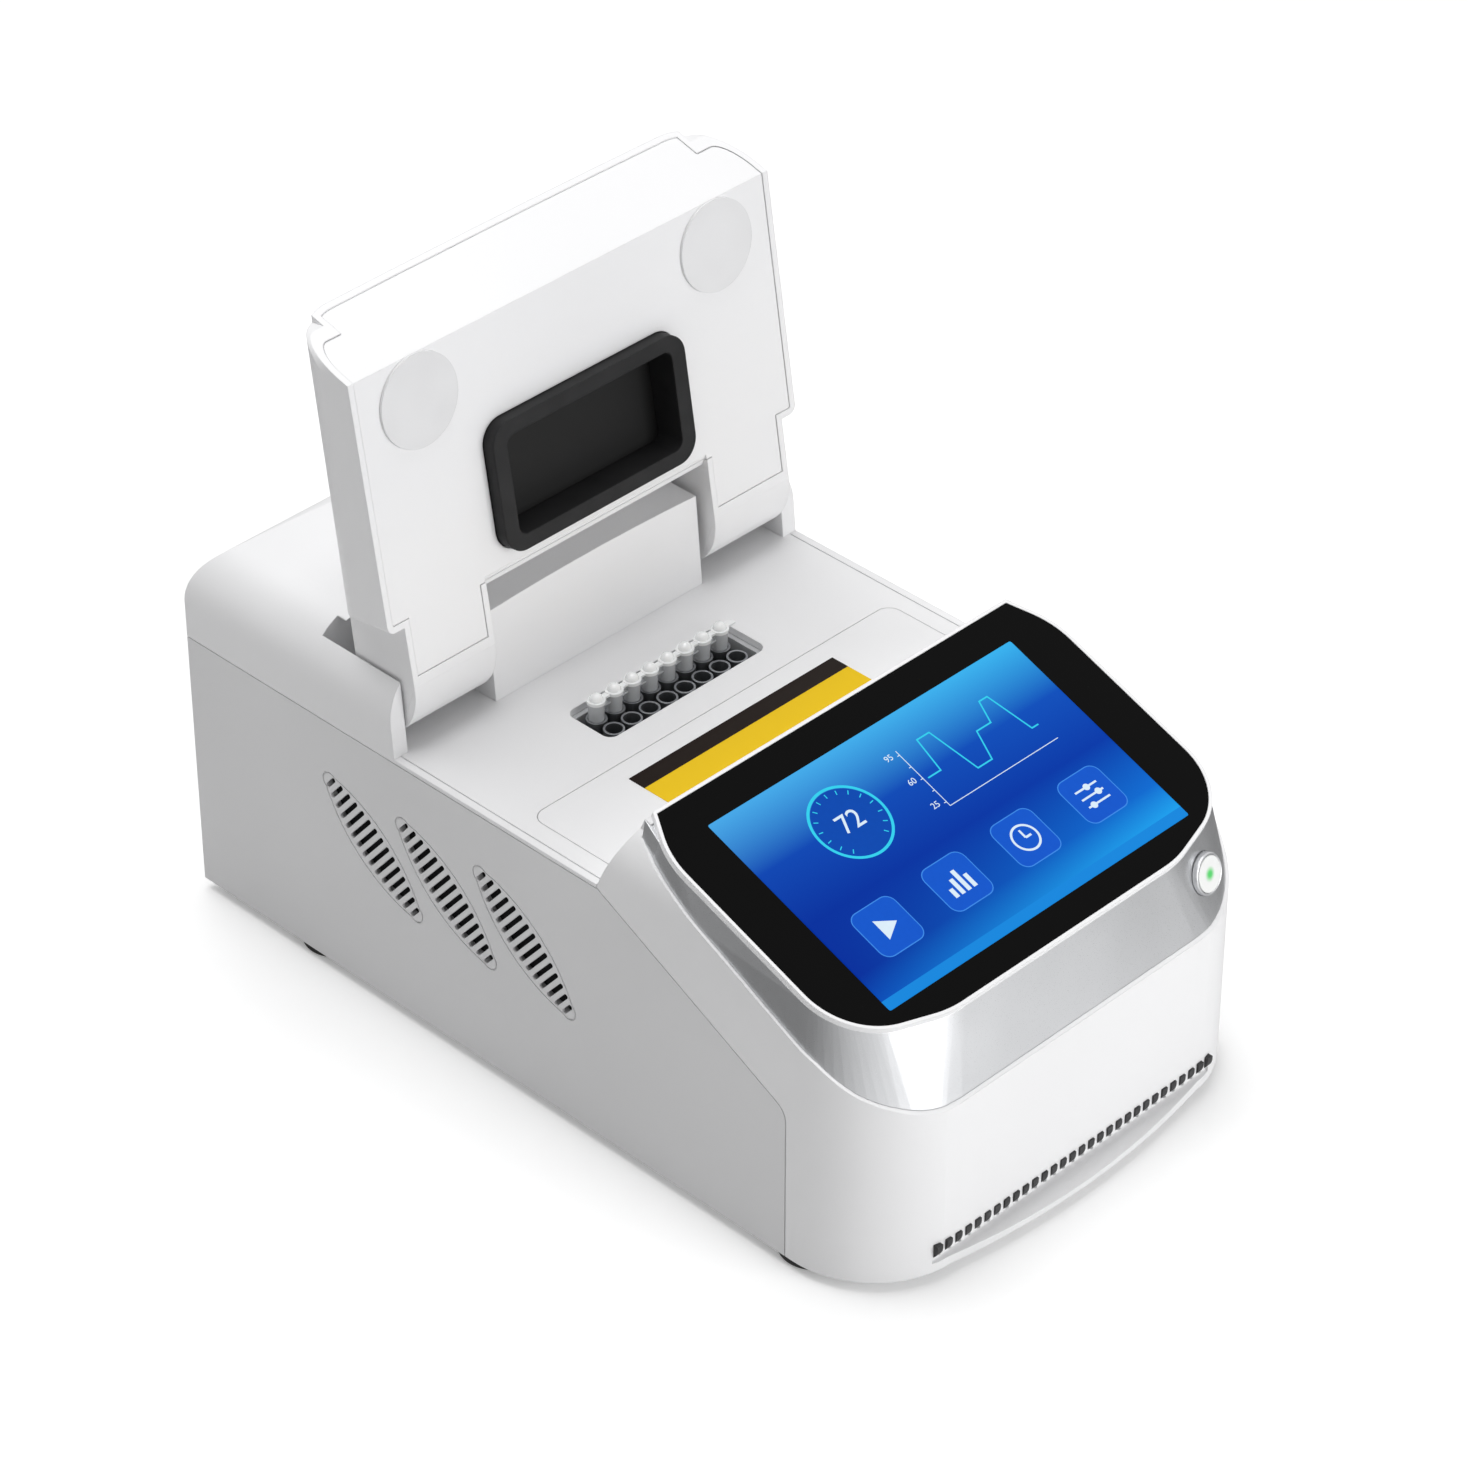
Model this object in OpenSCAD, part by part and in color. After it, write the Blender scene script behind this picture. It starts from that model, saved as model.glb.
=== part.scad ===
// Thermal cycler for two rows of eight small tubes. A screen slopes at the front, the
// tube block lies in the deck behind it, and a heated lid hinges in the rear hood.
// Millimetres, +Z up, front towards -Y. The origin is on the table under the middle of
// the body. The lid is drawn open and the tubes are drawn in the rear row of wells.

/* [Body] */
// Width over the side panels
body_w = 205; // [198:1:220]
// Length from the front wall to the rear panel
body_l = 352; // [346:1:370]
// Height of the hood and of the closed lid
hood_z = 157; // [155:0.5:160]
// Height of the deck around the tube block
deck_z = 118; // [116:0.5:119]
// Thickness of the moulded shells
wall = 3; // [2:0.25:3.5]
// Gap along the joints between fixed panels
seam = 0.4; // [0.2:0.1:0.6]
// Radius of the front corners in plan
corner_r = 40; // [30:1:50]
// Depth of the bow of the front wall
front_bow = 1.8; // [1:0.1:3]
// Radius of the shoulders along hood and lid
shoulder_r = 22; // [18:1:24]
// Rise of the hood between its shoulders
hood_bow = 3.5; // [2:0.5:5]
// Radius of the rear top edge of the hood
hood_rear_r = 24; // [15:1:28]
// Distance of the hood's front face from the middle of the body
hood_front_y = 63.5; // [62:0.5:66]
// Height of the joint between top cover and side panels, below the deck
top_joint_drop = 1.5; // [1:0.25:2]

/* [Feet and base] */
// Height of the rubber feet
foot_h = 4.5; // [3:0.5:7]
// Diameter of the rubber feet
foot_d = 22; // [14:1:24]
// Distance of the feet from the middle plane
foot_x = 88; // [70:1:89]
// Distance of the front feet ahead of the middle
foot_front_y = 131; // [100:1:133]
// Distance of the rear feet behind the middle
foot_rear_y = 117; // [100:1:150]
// Thickness of the steel base plate
base_t = 2; // [1.5:0.25:3]

/* [Screen] */
// Slope of the glass
screen_tilt = 20.5; // [18:0.5:23]
// Place of the rear edge of the glass ahead of the middle
screen_rear_y = 55.3; // [54:0.5:57]
// Height of the rear edge of the glass
screen_rear_z = 149.3; // [147:0.5:151]
// Width of the white rim around the glass
rim_w = 1.5; // [1:0.25:2]
// Thickness of the glass
glass_t = 1.2; // [0.8:0.1:1.6]
// Width of the display panel
lcd_w = 155; // [130:1:158]
// Height of the display panel along the slope
lcd_h = 92; // [80:1:94]
// Thickness of the display panel
lcd_t = 4; // [3:0.5:6]
// Thickness of the silver band
band_t = 2; // [1.5:0.25:2.5]
// Step from the body wall in to the silver band
band_step = 1.2; // [0.8:0.1:1.6]

/* [Power button] */
// Diameter of the button cap
button_d = 13.5; // [10:0.5:14]
// Travel of the button
button_travel = 1.5; // [1:0.1:2]
// Width of the ring around the button
button_ring_w = 1.1; // [0.8:0.1:1.5]
// Distance of the button right of the middle
button_x = 73; // [70:0.5:76]
// Height of the button
button_z = 95.5; // [93:0.5:97]

/* [Tube block] */
// Distance between neighbouring wells
well_pitch = 9; // [8.6:0.1:9.5]
// Number of wells in a row
well_count = 8; // [4:1:8]
// Diameter at the mouth of a well
well_d = 6.4; // [6.2:0.1:6.8]
// Wall around each well
well_wall = 0.8; // [0.6:0.1:1]
// Distance of the block behind the middle of the body
block_y = 29; // [27:0.5:31]
// Depth of the block's top below the deck
block_drop = 3; // [2:0.5:4]
// Height of the wells above the block's foot
well_h = 15.5; // [14:0.5:18]
// Clearance between a tube and its well
tube_gap = 0.2; // [0.15:0.05:0.25]
// Height of a tube above the top of the block
tube_rise = 7; // [5:0.5:8]
// Wall of a tube
tube_wall = 0.5; // [0.4:0.1:0.8]

/* [Lid] */
// Distance of the hinge axis behind the middle of the body
hinge_y = 83.2; // [82:0.2:84]
// Height of the hinge axis
hinge_z = 143.1; // [142:0.1:144]
// Angle through which the lid opens
lid_angle = 99; // [90:0.1:102]
// Gap between the closed lid and the deck
lid_gap = 1.3; // [1:0.1:1.8]
// Half of the gap between the legs of the lid
leg_inner_x = 55.5; // [54:0.5:58]
// Half of the width over the legs of the lid
leg_outer_x = 94.8; // [92:0.2:95]
// Fall of the closed lid towards its tip
lid_slope = 1.4; // [0:0.1:1.8]
// Crown of the lid across its width
lid_bow = 0.5; // [0.3:0.1:3.5]
// Depth of the lid's top below the crown of the hood, at the hinge
lid_sink = 1; // [0:0.1:2]
// Clearance between the legs and the hood
leg_gap = 1; // [0.7:0.1:1.4]
// Diameter of the hinge pins
pin_d = 6; // [5:0.5:8]
// Running clearance of the hinge pins
pin_gap = 0.05; // [0.03:0.01:0.08]

/* [Heated press] */
// Width of the press frame
press_w = 94.6; // [92:0.2:98]
// Depth of the press frame
press_l = 51.3; // [50:0.1:53]
// Stand of the press frame below the open lid
press_stand = 5; // [4:0.2:6]
// Travel of the press frame as the lid closes
press_travel = 5; // [4:0.1:5.5]
// Depth of the heater plate inside the frame
heater_drop = 13; // [12.5:0.5:14]
// Diameter of the two round pads of the lid
pad_d = 35.3; // [30:0.1:38]

/* [Vents] */
// Number of slots in each side vent
side_slots = 15; // [9:2:17]
// Distance between the slots of a side vent
side_slot_pitch = 4; // [3.6:0.1:4.2]
// Width of a slot of a side vent
side_slot_w = 1.9; // [1.4:0.1:2.2]
// Number of slots in the front vent
front_slots = 30; // [20:2:32]
// Distance between the slots of the front vent
front_slot_pitch = 4.92; // [4.4:0.02:5]
// Reach of the lip below the front vent
lip_out = 4.5; // [3:0.5:5]

/* [Fan] */
// Width of the fan frame
fan_w = 80; // [70:1:86]
// Depth of the fan frame
fan_t = 25; // [20:1:30]
// Number of blades
fan_blades = 7; // [5:1:9]
// Distance of the fan left of the middle
fan_x = 42; // [38:1:46]
// Height of the fan's axis
fan_z = 60; // [56:1:64]

/* [Hidden] */
$fn = 64;
eps = 0.01;
far = 400;

half_w = body_w / 2;
front_y = -body_l / 2;
rear_y = body_l / 2;
base_z = foot_h;
top_joint_z = deck_z - top_joint_drop;
fit = 0.3;

// Slope behind the screen, from the deck up to the rear edge of the screen's rim
slope_y = -39.7;
slope_top = [-screen_rear_y + rim_w * cos(screen_tilt), screen_rear_z + rim_w * sin(screen_tilt)];
slope_angle = atan2(slope_top.y - deck_z, slope_y - slope_top.x);
function slope_line(shift) = [
    [slope_y - shift / sin(slope_angle), deck_z],
    [slope_top.x - shift / sin(slope_angle), slope_top.y]
];

// Joint between fascia and side panels, seen from the side
joint_y = -130.7;
joint_slope = 27.3;
joint_r = 8;
joint_corner_z = top_joint_z + 0.2 - (slope_y - joint_y) * tan(joint_slope);
joint_turn = 90 - joint_slope;
joint_arc_z = joint_corner_z - joint_r * tan(joint_turn / 2);
function joint_line(shift) = concat(
    [[joint_y + shift, base_z]],
    [for (i = [0:6]) let(a = 180 - joint_turn * i / 6)
        [joint_y + joint_r + (joint_r - shift) * cos(a), joint_arc_z + (joint_r - shift) * sin(a)]],
    [[slope_y, top_joint_z + 0.2 - shift / cos(joint_slope)]]
);

// Lower edge of the silver band, seen from the side
band_line = [[-52.8, 141.5], [-62.4, 137], [-76.3, 130.8], [-97.3, 120.6], [-121, 108.3],
    [-143, 97.2], [-156, 87.7], [-166, 81.5], [-174, 75.5], [-180, 73.5]];

// Draws a (y, z) outline and extrudes it across the body
module across(width = far) {
    rotate([90, 0, 90])
        linear_extrude(height = width, center = true)
            children();
}

// Draws an (x, z) outline and extrudes it along the body between two y values
module along(from_y, to_y) {
    translate([0, to_y, 0])
        rotate([90, 0, 0])
            linear_extrude(height = to_y - from_y)
                children();
}

// Flat outline with straight sides, two round corners and a bowed end whose top is at
// the origin and points to +Y
module bowed_outline(half, length, corner, bow, inset) {
    corner_x = half - corner;
    corner_y = -(bow + corner);
    big_r = corner + (corner_x * corner_x + bow * bow) / (2 * bow);
    ray = [corner_x, corner_y + big_r] / (big_r - corner) * (corner + bow + 2);
    translate([-(half - inset), -length])
        square([2 * (half - inset), length + corner_y]);
    for (side = [-1, 1])
        translate([side * corner_x, corner_y])
            circle(r = corner - inset);
    intersection() {
        translate([0, -big_r])
            circle(r = big_r - inset, $fn = 720);
        polygon([[-corner_x, corner_y], [-corner_x - ray.x, corner_y + ray.y],
            [corner_x + ray.x, corner_y + ray.y], [corner_x, corner_y]]);
    }
}

// Plan of the body, its walls moved in by inset. The bowed front wall cuts the round
// corners a little inside their front edge.
module plan(inset = 0) {
    corner_x = half_w - corner_r;
    corner_y = front_y + front_bow + corner_r - 0.1;
    bow_r = (corner_x * corner_x + front_bow * front_bow) / (2 * front_bow);
    intersection() {
        union() {
            translate([inset - half_w, corner_y])
                square([body_w - 2 * inset, rear_y - inset - corner_y]);
            translate([-corner_x, corner_y - corner_r + inset])
                square([2 * corner_x, corner_r]);
            for (side = [-1, 1])
                translate([side * corner_x, corner_y])
                    circle(r = corner_r - inset);
        }
        translate([0, front_y + bow_r])
            circle(r = bow_r - inset, $fn = 720);
    }
}

// Cross-section of hood and lid, its walls moved in by inset
module section(inset = 0, bow = hood_bow) {
    translate([0, hood_z])
        bowed_outline(half_w, hood_z + 10, shoulder_r, bow, inset);
}

// Side view of the hood with its round rear edge
module hood_side(inset = 0) {
    r = hood_rear_r - inset;
    cy = rear_y - hood_rear_r;
    cz = hood_z - hood_rear_r;
    translate([0, 0])
        square([rear_y - inset, cz]);
    square([cy, hood_z + 5]);
    translate([cy, cz])
        circle(r = r);
}

// Places its children on the glass plane: x across, -y down the slope, +z outwards
module on_screen() {
    translate([0, -screen_rear_y, screen_rear_z])
        rotate([screen_tilt, 0, 0])
            children();
}

// Outline of the glass, grown by grow
module glass_outline(grow = 0) {
    intersection() {
        hull()
            for (side = [-1, 1]) {
                translate([side * 69.2, -84])
                    circle(r = 28 + grow, $fn = 96);
                translate([side * 52, -71.3])
                    circle(r = 45 + grow, $fn = 128);
                translate([side * 62, -25])
                    circle(r = 35 + grow, $fn = 96);
                translate([side * 82.6, -2])
                    circle(r = 6 + grow, $fn = 48);
            }
        translate([-half_w, grow - far])
            square([body_w, far]);
    }
}

// Top cover: deck, hood, arms and the block between the legs of the lid
bay_wall_y = hinge_y + 26.8;
arm_x = leg_outer_x + leg_gap;
centre_x = leg_inner_x - 2.8;
lip_y = 102.5;
well_open_x = well_pitch * well_count / 2 + 4.2;
well_open_y = 11.5;

module hood_envelope(inset) {
    intersection() {
        along(0, rear_y - inset)
            section(inset);
        across()
            hood_side(inset);
        linear_extrude(height = far)
            plan(inset);
    }
}

module leg_bay(side) {
    low = min(side * centre_x, side * arm_x);
    translate([low, hood_front_y - 5, deck_z])
        cube([arm_x - centre_x, bay_wall_y - wall - hood_front_y + 5, hood_z - 5 - deck_z]);
    translate([low, hood_front_y - 5, deck_z])
        cube([arm_x - centre_x, lip_y - hood_front_y + 5, far]);
}

module top_cover() {
    color("white")
    difference() {
        union() {
            difference() {
                hood_envelope(0);
                translate([-far, -far, -eps])
                    cube([2 * far, 2 * far, top_joint_z]);
                translate([-far, -far, -eps])
                    cube([2 * far, far + hood_front_y, far]);
            }
            translate([0, 0, top_joint_z])
                linear_extrude(height = deck_z - top_joint_z)
                    intersection() {
                        plan();
                        translate([-half_w, slope_y + seam])
                            square([body_w, hood_front_y - slope_y + 5]);
                    }
            translate([0, 0, deck_z - wall])
                linear_extrude(height = wall)
                    intersection() {
                        plan(wall + fit);
                        translate([-half_w, slope_y + seam])
                            square([body_w, far]);
                    }
        }
        difference() {
            hood_envelope(wall);
            translate([-far, -far, -eps])
                cube([2 * far, far + bay_wall_y, far]);
        }
        difference() {
            hood_envelope(wall);
            translate([-far, -far, -eps])
                cube([2 * far, 2 * far, deck_z]);
            translate([-far, -far, -eps])
                cube([2 * far, far + hood_front_y + wall + 4, far]);
            translate([-far, bay_wall_y - wall, -eps])
                cube([2 * far, far, far]);
            for (side = [-1, 1])
                translate([side * (half_w + centre_x - wall) / 2, 0, far / 2])
                    cube([half_w - centre_x + wall, 2 * far, far], center = true);
        }
        for (side = [-1, 1])
            leg_bay(side);
        translate([0, hood_front_y, deck_z])
            rotate([-4.8, 0, 0])
                translate([-half_w, -20, 0])
                    cube([body_w, 20, 0.001 + far]);
        translate([0, block_y, deck_z - wall - eps])
            linear_extrude(height = wall + 1)
                rounded_box(well_open_x, well_open_y, 4);
        deck_panel_space(0);
        for (side = [-1, 1])
            translate([side * (half_w - 3.2) - 0.2, slope_y - 5, deck_z - 0.5])
                cube([0.4, hood_front_y - slope_y + 5, 1]);
        for (side = [-1, 1])
            translate([side * centre_x - 5, hinge_y, hinge_z])
                rotate([0, 90, 0])
                    cylinder(d = pin_d + 2 * fit, h = 10);
    }
}

// Flat box outline with round corners, given by its half sizes
module rounded_box(half_x, half_y, r) {
    translate([-half_x + r, -half_y])
        square([2 * (half_x - r), 2 * half_y]);
    translate([-half_x, -half_y + r])
        square([2 * half_x, 2 * (half_y - r)]);
    for (sx = [-1, 1])
        for (sy = [-1, 1])
            translate([sx * (half_x - r), sy * (half_y - r)])
                circle(r = r);
}

// Removable panel in the deck between screen and tube block
panel_x = half_w - 10.9;
panel_rear_y = 5;
panel_t = 1.5;
module deck_panel_space(gap) {
    translate([0, 0, deck_z - panel_t + gap])
        linear_extrude(height = panel_t + 1 - gap)
            intersection() {
                translate([0, panel_rear_y - 60])
                    rounded_box(panel_x - gap, 60 - gap, 6 - gap);
                translate([-half_w, slope_y + seam - 1])
                    square([body_w, 60]);
            }
}

module deck_panel() {
    color("gainsboro")
    intersection() {
        deck_panel_space(0.2);
        translate([-half_w, slope_y + seam, 0])
            cube([body_w, 60, deck_z]);
    }
}

label_x = 52;
label_t = 0.25;
module label_strip() {
    color("gold")
    translate([-label_x, -27, deck_z])
        cube([2 * label_x, 15, label_t]);
    color("black")
    translate([-label_x, -12, deck_z])
        cube([2 * label_x, 8, label_t]);
}

// Cross-section of the cheeks beside the screen, lower than the hood's shoulders
cheek_z = 124;
slope_half = 92;
module cheek_section(inset) {
    translate([-(half_w - inset), 0])
        square([2 * (half_w - inset), cheek_z]);
    for (side = [-1, 1])
        translate([side * (half_w - shoulder_r), cheek_z])
            circle(r = shoulder_r - inset);
    translate([-(slope_half - inset), cheek_z])
        square([2 * (slope_half - inset), 40]);
}

// Side view of the fascia below the silver band
module fascia_side() {
    polygon(concat(joint_line(0), [slope_line(0)[0]], band_line,
        [[-far, 73.5], [-far, base_z]]));
}

vent_z = 13;
vent_h = 6;
// Depth of the recess, and the round front edge of the lip below it
recess_d = 4;
vent_end_x = (front_slots * front_slot_pitch - 1.5) / 2;
lip_r = 338;

// Crescent-shaped lip below the front vent
module front_lip() {
    translate([0, 0, base_z])
        linear_extrude(height = 4.5)
            intersection() {
                translate([0, front_y - lip_out + lip_r])
                    circle(r = lip_r, $fn = 360);
                translate([-75, front_y - lip_out - 1])
                    square([150, lip_out + 4]);
            }
}

// Space in front of the slots: the wall rolls in above them, the floor slopes out below
module front_recess() {
    across(2 * vent_end_x)
        difference() {
            polygon([[front_y - 10, 5.6], [front_y + recess_d, 8.8],
                [front_y + recess_d, vent_z + vent_h / 2], [front_y - 10, vent_z + vent_h / 2]]);
            translate([front_y + 6, vent_z + vent_h / 2])
                circle(r = 6);
        }
}

// White front fascia with the row of slots near its foot
module front_fascia() {
    color("white")
    difference() {
        union() {
            intersection() {
                linear_extrude(height = cheek_z)
                    difference() {
                        plan();
                        plan(wall);
                    }
                across()
                    fascia_side();
            }
            intersection() {
                along(-120, 0)
                    difference() {
                        cheek_section(0);
                        cheek_section(wall);
                        translate([-half_w, 0])
                            square([body_w, cheek_z - 1]);
                    }
                across()
                    fascia_side();
            }
            intersection() {
                along(-120, 0)
                    cheek_section(0);
                across()
                    polygon([slope_line(0)[0], slope_line(0)[1], slope_line(wall)[1],
                        slope_line(wall)[0]]);
            }
            translate([0, 0, base_z + base_t + fit])
                linear_extrude(height = 14)
                    intersection() {
                        plan();
                        translate([-vent_end_x - 2, front_y])
                            square([2 * vent_end_x + 4, recess_d + 2]);
                    }
            difference() {
                front_lip();
                translate([0, 0, base_z + base_t / 2])
                    linear_extrude(height = far, center = true)
                        plan(1);
            }
        }
        front_recess();
        on_screen()
            translate([-half_w, -far / 2, -glass_t - 1])
                cube([body_w, far, 30]);
        for (i = [0:front_slots - 1])
            translate([(i - (front_slots - 1) / 2) * front_slot_pitch, front_y - 1, vent_z + 0.6])
                cube([front_slot_pitch - 2.2, 2 * (recess_d + 3.5), vent_h + 1.2], center = true);
    }
}

// Dark strip behind the slots of the front vent
module front_vent() {
    color("black")
    translate([-vent_end_x + 2, front_y + recess_d + 2.1, vent_z - vent_h / 2 - 1])
        cube([2 * vent_end_x - 4, 1.4, vent_h + 2]);
}

// Side panels with three leaf-shaped vents of slots
vent_len = 70;
vent_wide = 17.4;
vent_axis = 40;
vent_places = [[77.5, 71.5], [38.7, 71.5], [-1.8, 71.5]];
module side_vent_slots() {
    leaf_r = (vent_len * vent_len + vent_wide * vent_wide) / (4 * vent_wide);
    for (place = vent_places)
        translate(place)
            rotate(vent_axis)
                for (i = [0:side_slots - 1]) {
                    u = (i - (side_slots - 1) / 2) * side_slot_pitch;
                    half = sqrt(leaf_r * leaf_r - u * u) - leaf_r + vent_wide / 2 - side_slot_w / 2;
                    translate([u - side_slot_w / 2, -half])
                        square([side_slot_w, 2 * half]);
                    for (end = [-1, 1])
                        translate([u, end * half])
                            circle(d = side_slot_w, $fn = 16);
                }
}

leaf_edge_r = 60;
leaf_groove = 0.5;
leaf_skin = 1.2;
leaf_half = 11.2;
leaf_tip_u = 28.5;

// Leaf outlines around the side vents, moved in by inset
module leaves(inset) {
    for (place = vent_places)
        translate(place)
            rotate(vent_axis) {
                intersection() {
                    translate([0, leaf_half - leaf_edge_r])
                        circle(r = leaf_edge_r - inset, $fn = 180);
                    translate([0, leaf_edge_r - leaf_half])
                        circle(r = leaf_edge_r - inset, $fn = 180);
                    square([2 * leaf_tip_u, 2 * leaf_half], center = true);
                }
                for (end = [-1, 1])
                    translate([end * leaf_tip_u, 0])
                        circle(r = 4.05 - inset);
            }
}

module side_panel(side) {
    color("whitesmoke")
    difference() {
        intersection() {
            linear_extrude(height = far)
                difference() {
                    plan();
                    plan(wall);
                }
            across()
                polygon(concat(joint_line(seam), [[slope_y, top_joint_z - seam],
                    [rear_y, top_joint_z - seam], [rear_y, base_z]]));
            translate([side * half_w, 0, 0])
                cube([2 * wall + 60, far, far], center = true);
        }
        translate([-half_w + wall, rear_y - wall - 20, 0])
            cube([body_w - 2 * wall, 40, far]);
        translate([side * half_w, 0, 0])
            across(4 * wall)
                side_vent_slots();
        translate([side * half_w, 0, 0])
            across(2 * leaf_groove)
                difference() {
                    leaves(0);
                    leaves(0.6);
                }
        translate([side * (half_w - wall), 0, 0])
            across(2 * (wall - leaf_skin))
                leaves(1.2);
    }
}

module side_panel_left() {
    side_panel(-1);
}

module side_panel_right() {
    side_panel(1);
}

// Fine dark mesh sheets behind the side vents
module side_filters() {
    color("black")
    for (side = [-1, 1])
        translate([side * (half_w - wall - 0.6), 38, 71.5])
            cube([1, 160, 62], center = true);
}

// Rear panel with the openings for exhaust, inlet, switch and ports
inlet_x = 62;
inlet_z = 34;
switch_z = 72;
port_x = 20;
port_z = 30;
rear_t = 2.5;
rear_in = 1;
module rear_face() {
    translate([0, rear_y - rear_in, 0])
        rotate([90, 0, 0])
            children();
}

module rear_panel() {
    color("whitesmoke")
    rear_face()
        linear_extrude(height = rear_t)
            difference() {
                translate([-(half_w - wall - fit), base_z + seam])
                    square([2 * (half_w - wall - fit), top_joint_z - base_z - 2 * seam]);
                translate([-fan_x, fan_z])
                    circle(d = fan_w - 6);
                translate([inlet_x, inlet_z])
                    square([27.4, 20.4], center = true);
                translate([inlet_x, switch_z])
                    square([19.4, 13.4], center = true);
                for (i = [0:1])
                    translate([port_x, port_z + i * 14])
                        square([13.4, 6], center = true);
            }
}

// Raised round guard over the exhaust
module fan_grille() {
    color("dimgray")
    rear_face()
        translate([-fan_x, fan_z, 0]) {
            translate([0, 0, -lip_out - rear_in])
                linear_extrude(height = 1.2) {
                    for (r = [8:6:fan_w / 2 - 5])
                        difference() {
                            circle(r = r);
                            circle(r = r - 1.4);
                        }
                    for (a = [0:45:135])
                        rotate(a)
                            square([fan_w - 8, 1.6], center = true);
                }
            translate([0, 0, -lip_out - rear_in])
                linear_extrude(height = lip_out + rear_in + 1.2)
                    difference() {
                        circle(r = fan_w / 2 - 3.1);
                        circle(r = fan_w / 2 - 4.6);
                    }
        }
}

// Mains inlet with three contact slots in its recess
module power_inlet() {
    color("black")
    translate([inlet_x, rear_y - rear_in, inlet_z])
        rotate([90, 0, 0])
            difference() {
                union() {
                    linear_extrude(height = 24)
                        square([27, 20], center = true);
                    translate([0, 0, -0.9])
                        linear_extrude(height = 0.9)
                            rounded_box(17, 13, 2);
                }
                translate([0, 0, -1])
                    linear_extrude(height = 17)
                        rounded_box(11.5, 8, 1.5);
            }
    color("silver")
    for (pin = [[-7, -2], [7, -2], [0, 3]])
        translate([inlet_x + pin.x, rear_y - rear_in - 8, inlet_z + pin.y])
            cube([1.5, 16.2, 4], center = true);
}

// Mains rocker switch
module switch_housing() {
    color("black")
    translate([inlet_x, rear_y - rear_in, switch_z])
        rotate([90, 0, 0])
            difference() {
                union() {
                    linear_extrude(height = 18)
                        square([19, 13], center = true);
                    translate([0, 0, -0.6])
                        linear_extrude(height = 0.6)
                            square([21.5, 15], center = true);
                }
                translate([0, 0, -1])
                    linear_extrude(height = 16)
                        square([16, 10], center = true);
                translate([0, 7, 7])
                    rotate([90, 0, 0])
                        cylinder(r = 1.05, h = 14);
            }
}

module switch_rocker() {
    color("red")
    translate([inlet_x, rear_y - rear_in - 7, switch_z])
        rotate([0, 0, -8]) {
            intersection() {
                translate([0, 0, -4.6])
                    cylinder(r = 7.2, h = 9.2);
                translate([-7.5, -3, -5])
                    cube([15, 10.5, 10]);
            }
            translate([0, 0, -6])
                cylinder(r = 1, h = 12);
        }
}

// Two data sockets in the rear panel
module usb_ports() {
    for (i = [0:1])
        translate([port_x, rear_y - rear_in, port_z + i * 14])
            rotate([90, 0, 0]) {
                color("silver")
                difference() {
                    linear_extrude(height = 14)
                        square([13.1, 5.7], center = true);
                    translate([0, 0, -1])
                        linear_extrude(height = 12)
                            square([12.1, 4.7], center = true);
                }
                color("blue")
                translate([0, 0.8, 6])
                    linear_extrude(height = 7, center = false)
                        square([11, 1.6], center = true);
            }
}

// Steel base plate, its air slots and its feet
module base_plate() {
    color("silver")
    translate([0, 0, base_z])
        linear_extrude(height = base_t)
            difference() {
                plan(wall + fit);
                translate([-half_w, rear_y - rear_in - rear_t - fit])
                    square([body_w, 20]);
                for (i = [-5:5])
                    translate([i * 8, block_y])
                        square([3, 60], center = true);
            }
}

module foot_places() {
    for (side = [-1, 1])
        for (y = [-foot_front_y, foot_rear_y])
            translate([side * foot_x, y, 0])
                children();
}

module rubber_feet() {
    color("black")
    foot_places()
        rotate_extrude()
            polygon([[0, 0], [foot_d / 2 - 1.5, 0], [foot_d / 2, 1.5], [foot_d / 2, foot_h],
                [0, foot_h]]);
}

module base_screws() {
    color("silver")
    for (side = [-1, 1])
        for (y = [-100, 0, 100])
            translate([side * (half_w - 12), y, base_z - 1.6])
                difference() {
                    cylinder(d = 6, h = 1.6);
                    translate([0, 0, -1])
                        cylinder(d = 2.6, h = 2, $fn = 6);
                }
}

// Silver band between the body wall and the screen rim
module band_hull(step, grow, top) {
    hull() {
        on_screen()
            translate([0, 0, top - 0.4])
                linear_extrude(height = 0.4)
                    glass_outline(grow);
        intersection() {
            translate([0, 0, 60])
                linear_extrude(height = 100)
                    plan(step);
            along(-far, 0)
                cheek_section(step);
            across()
                polygon(concat(band_line, [for (i = [len(band_line) - 1:-1:0])
                    band_line[i] - [0, 0.5]]));
            translate([-half_w, -far, 0])
                cube([body_w, far + slope_line(wall)[1].x - 4, far]);
        }
    }
}

module silver_band() {
    color("silver")
    difference() {
        intersection() {
            band_hull(band_step, rim_w, -glass_t - 1);
            across()
                polygon(concat([slope_line(wall + 0.2)[1] + [-5, 12],
                    slope_line(wall + 0.2)[1], slope_line(wall + 0.2)[0]],
                    [for (p = band_line) if (p.x < slope_line(wall + 0.2)[0].x) p + [0, 0.15]],
                    [[-far, 73.65], [-far, 170]]));
        }
        band_hull(band_step + band_t, -0.3, -glass_t - 0.5);
        on_button()
            cylinder(r = button_d / 2 + button_ring_w + 0.1, h = 60, center = true);
    }
}

// Screen: white rim with a ledge, glass on the ledge, display and its board behind
module screen_rim() {
    color("white")
    on_screen() {
        translate([0, 0, -glass_t - 0.5])
            linear_extrude(height = glass_t + 0.6)
                difference() {
                    glass_outline(rim_w);
                    glass_outline(0.15);
                }
        translate([0, 0, -glass_t - 1])
            linear_extrude(height = 1)
                difference() {
                    glass_outline(rim_w);
                    glass_outline(-3.5);
                }
    }
}

module screen_glass() {
    color("black")
    on_screen()
        translate([0, 0, -glass_t])
            linear_extrude(height = glass_t)
                glass_outline(0);
}

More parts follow.
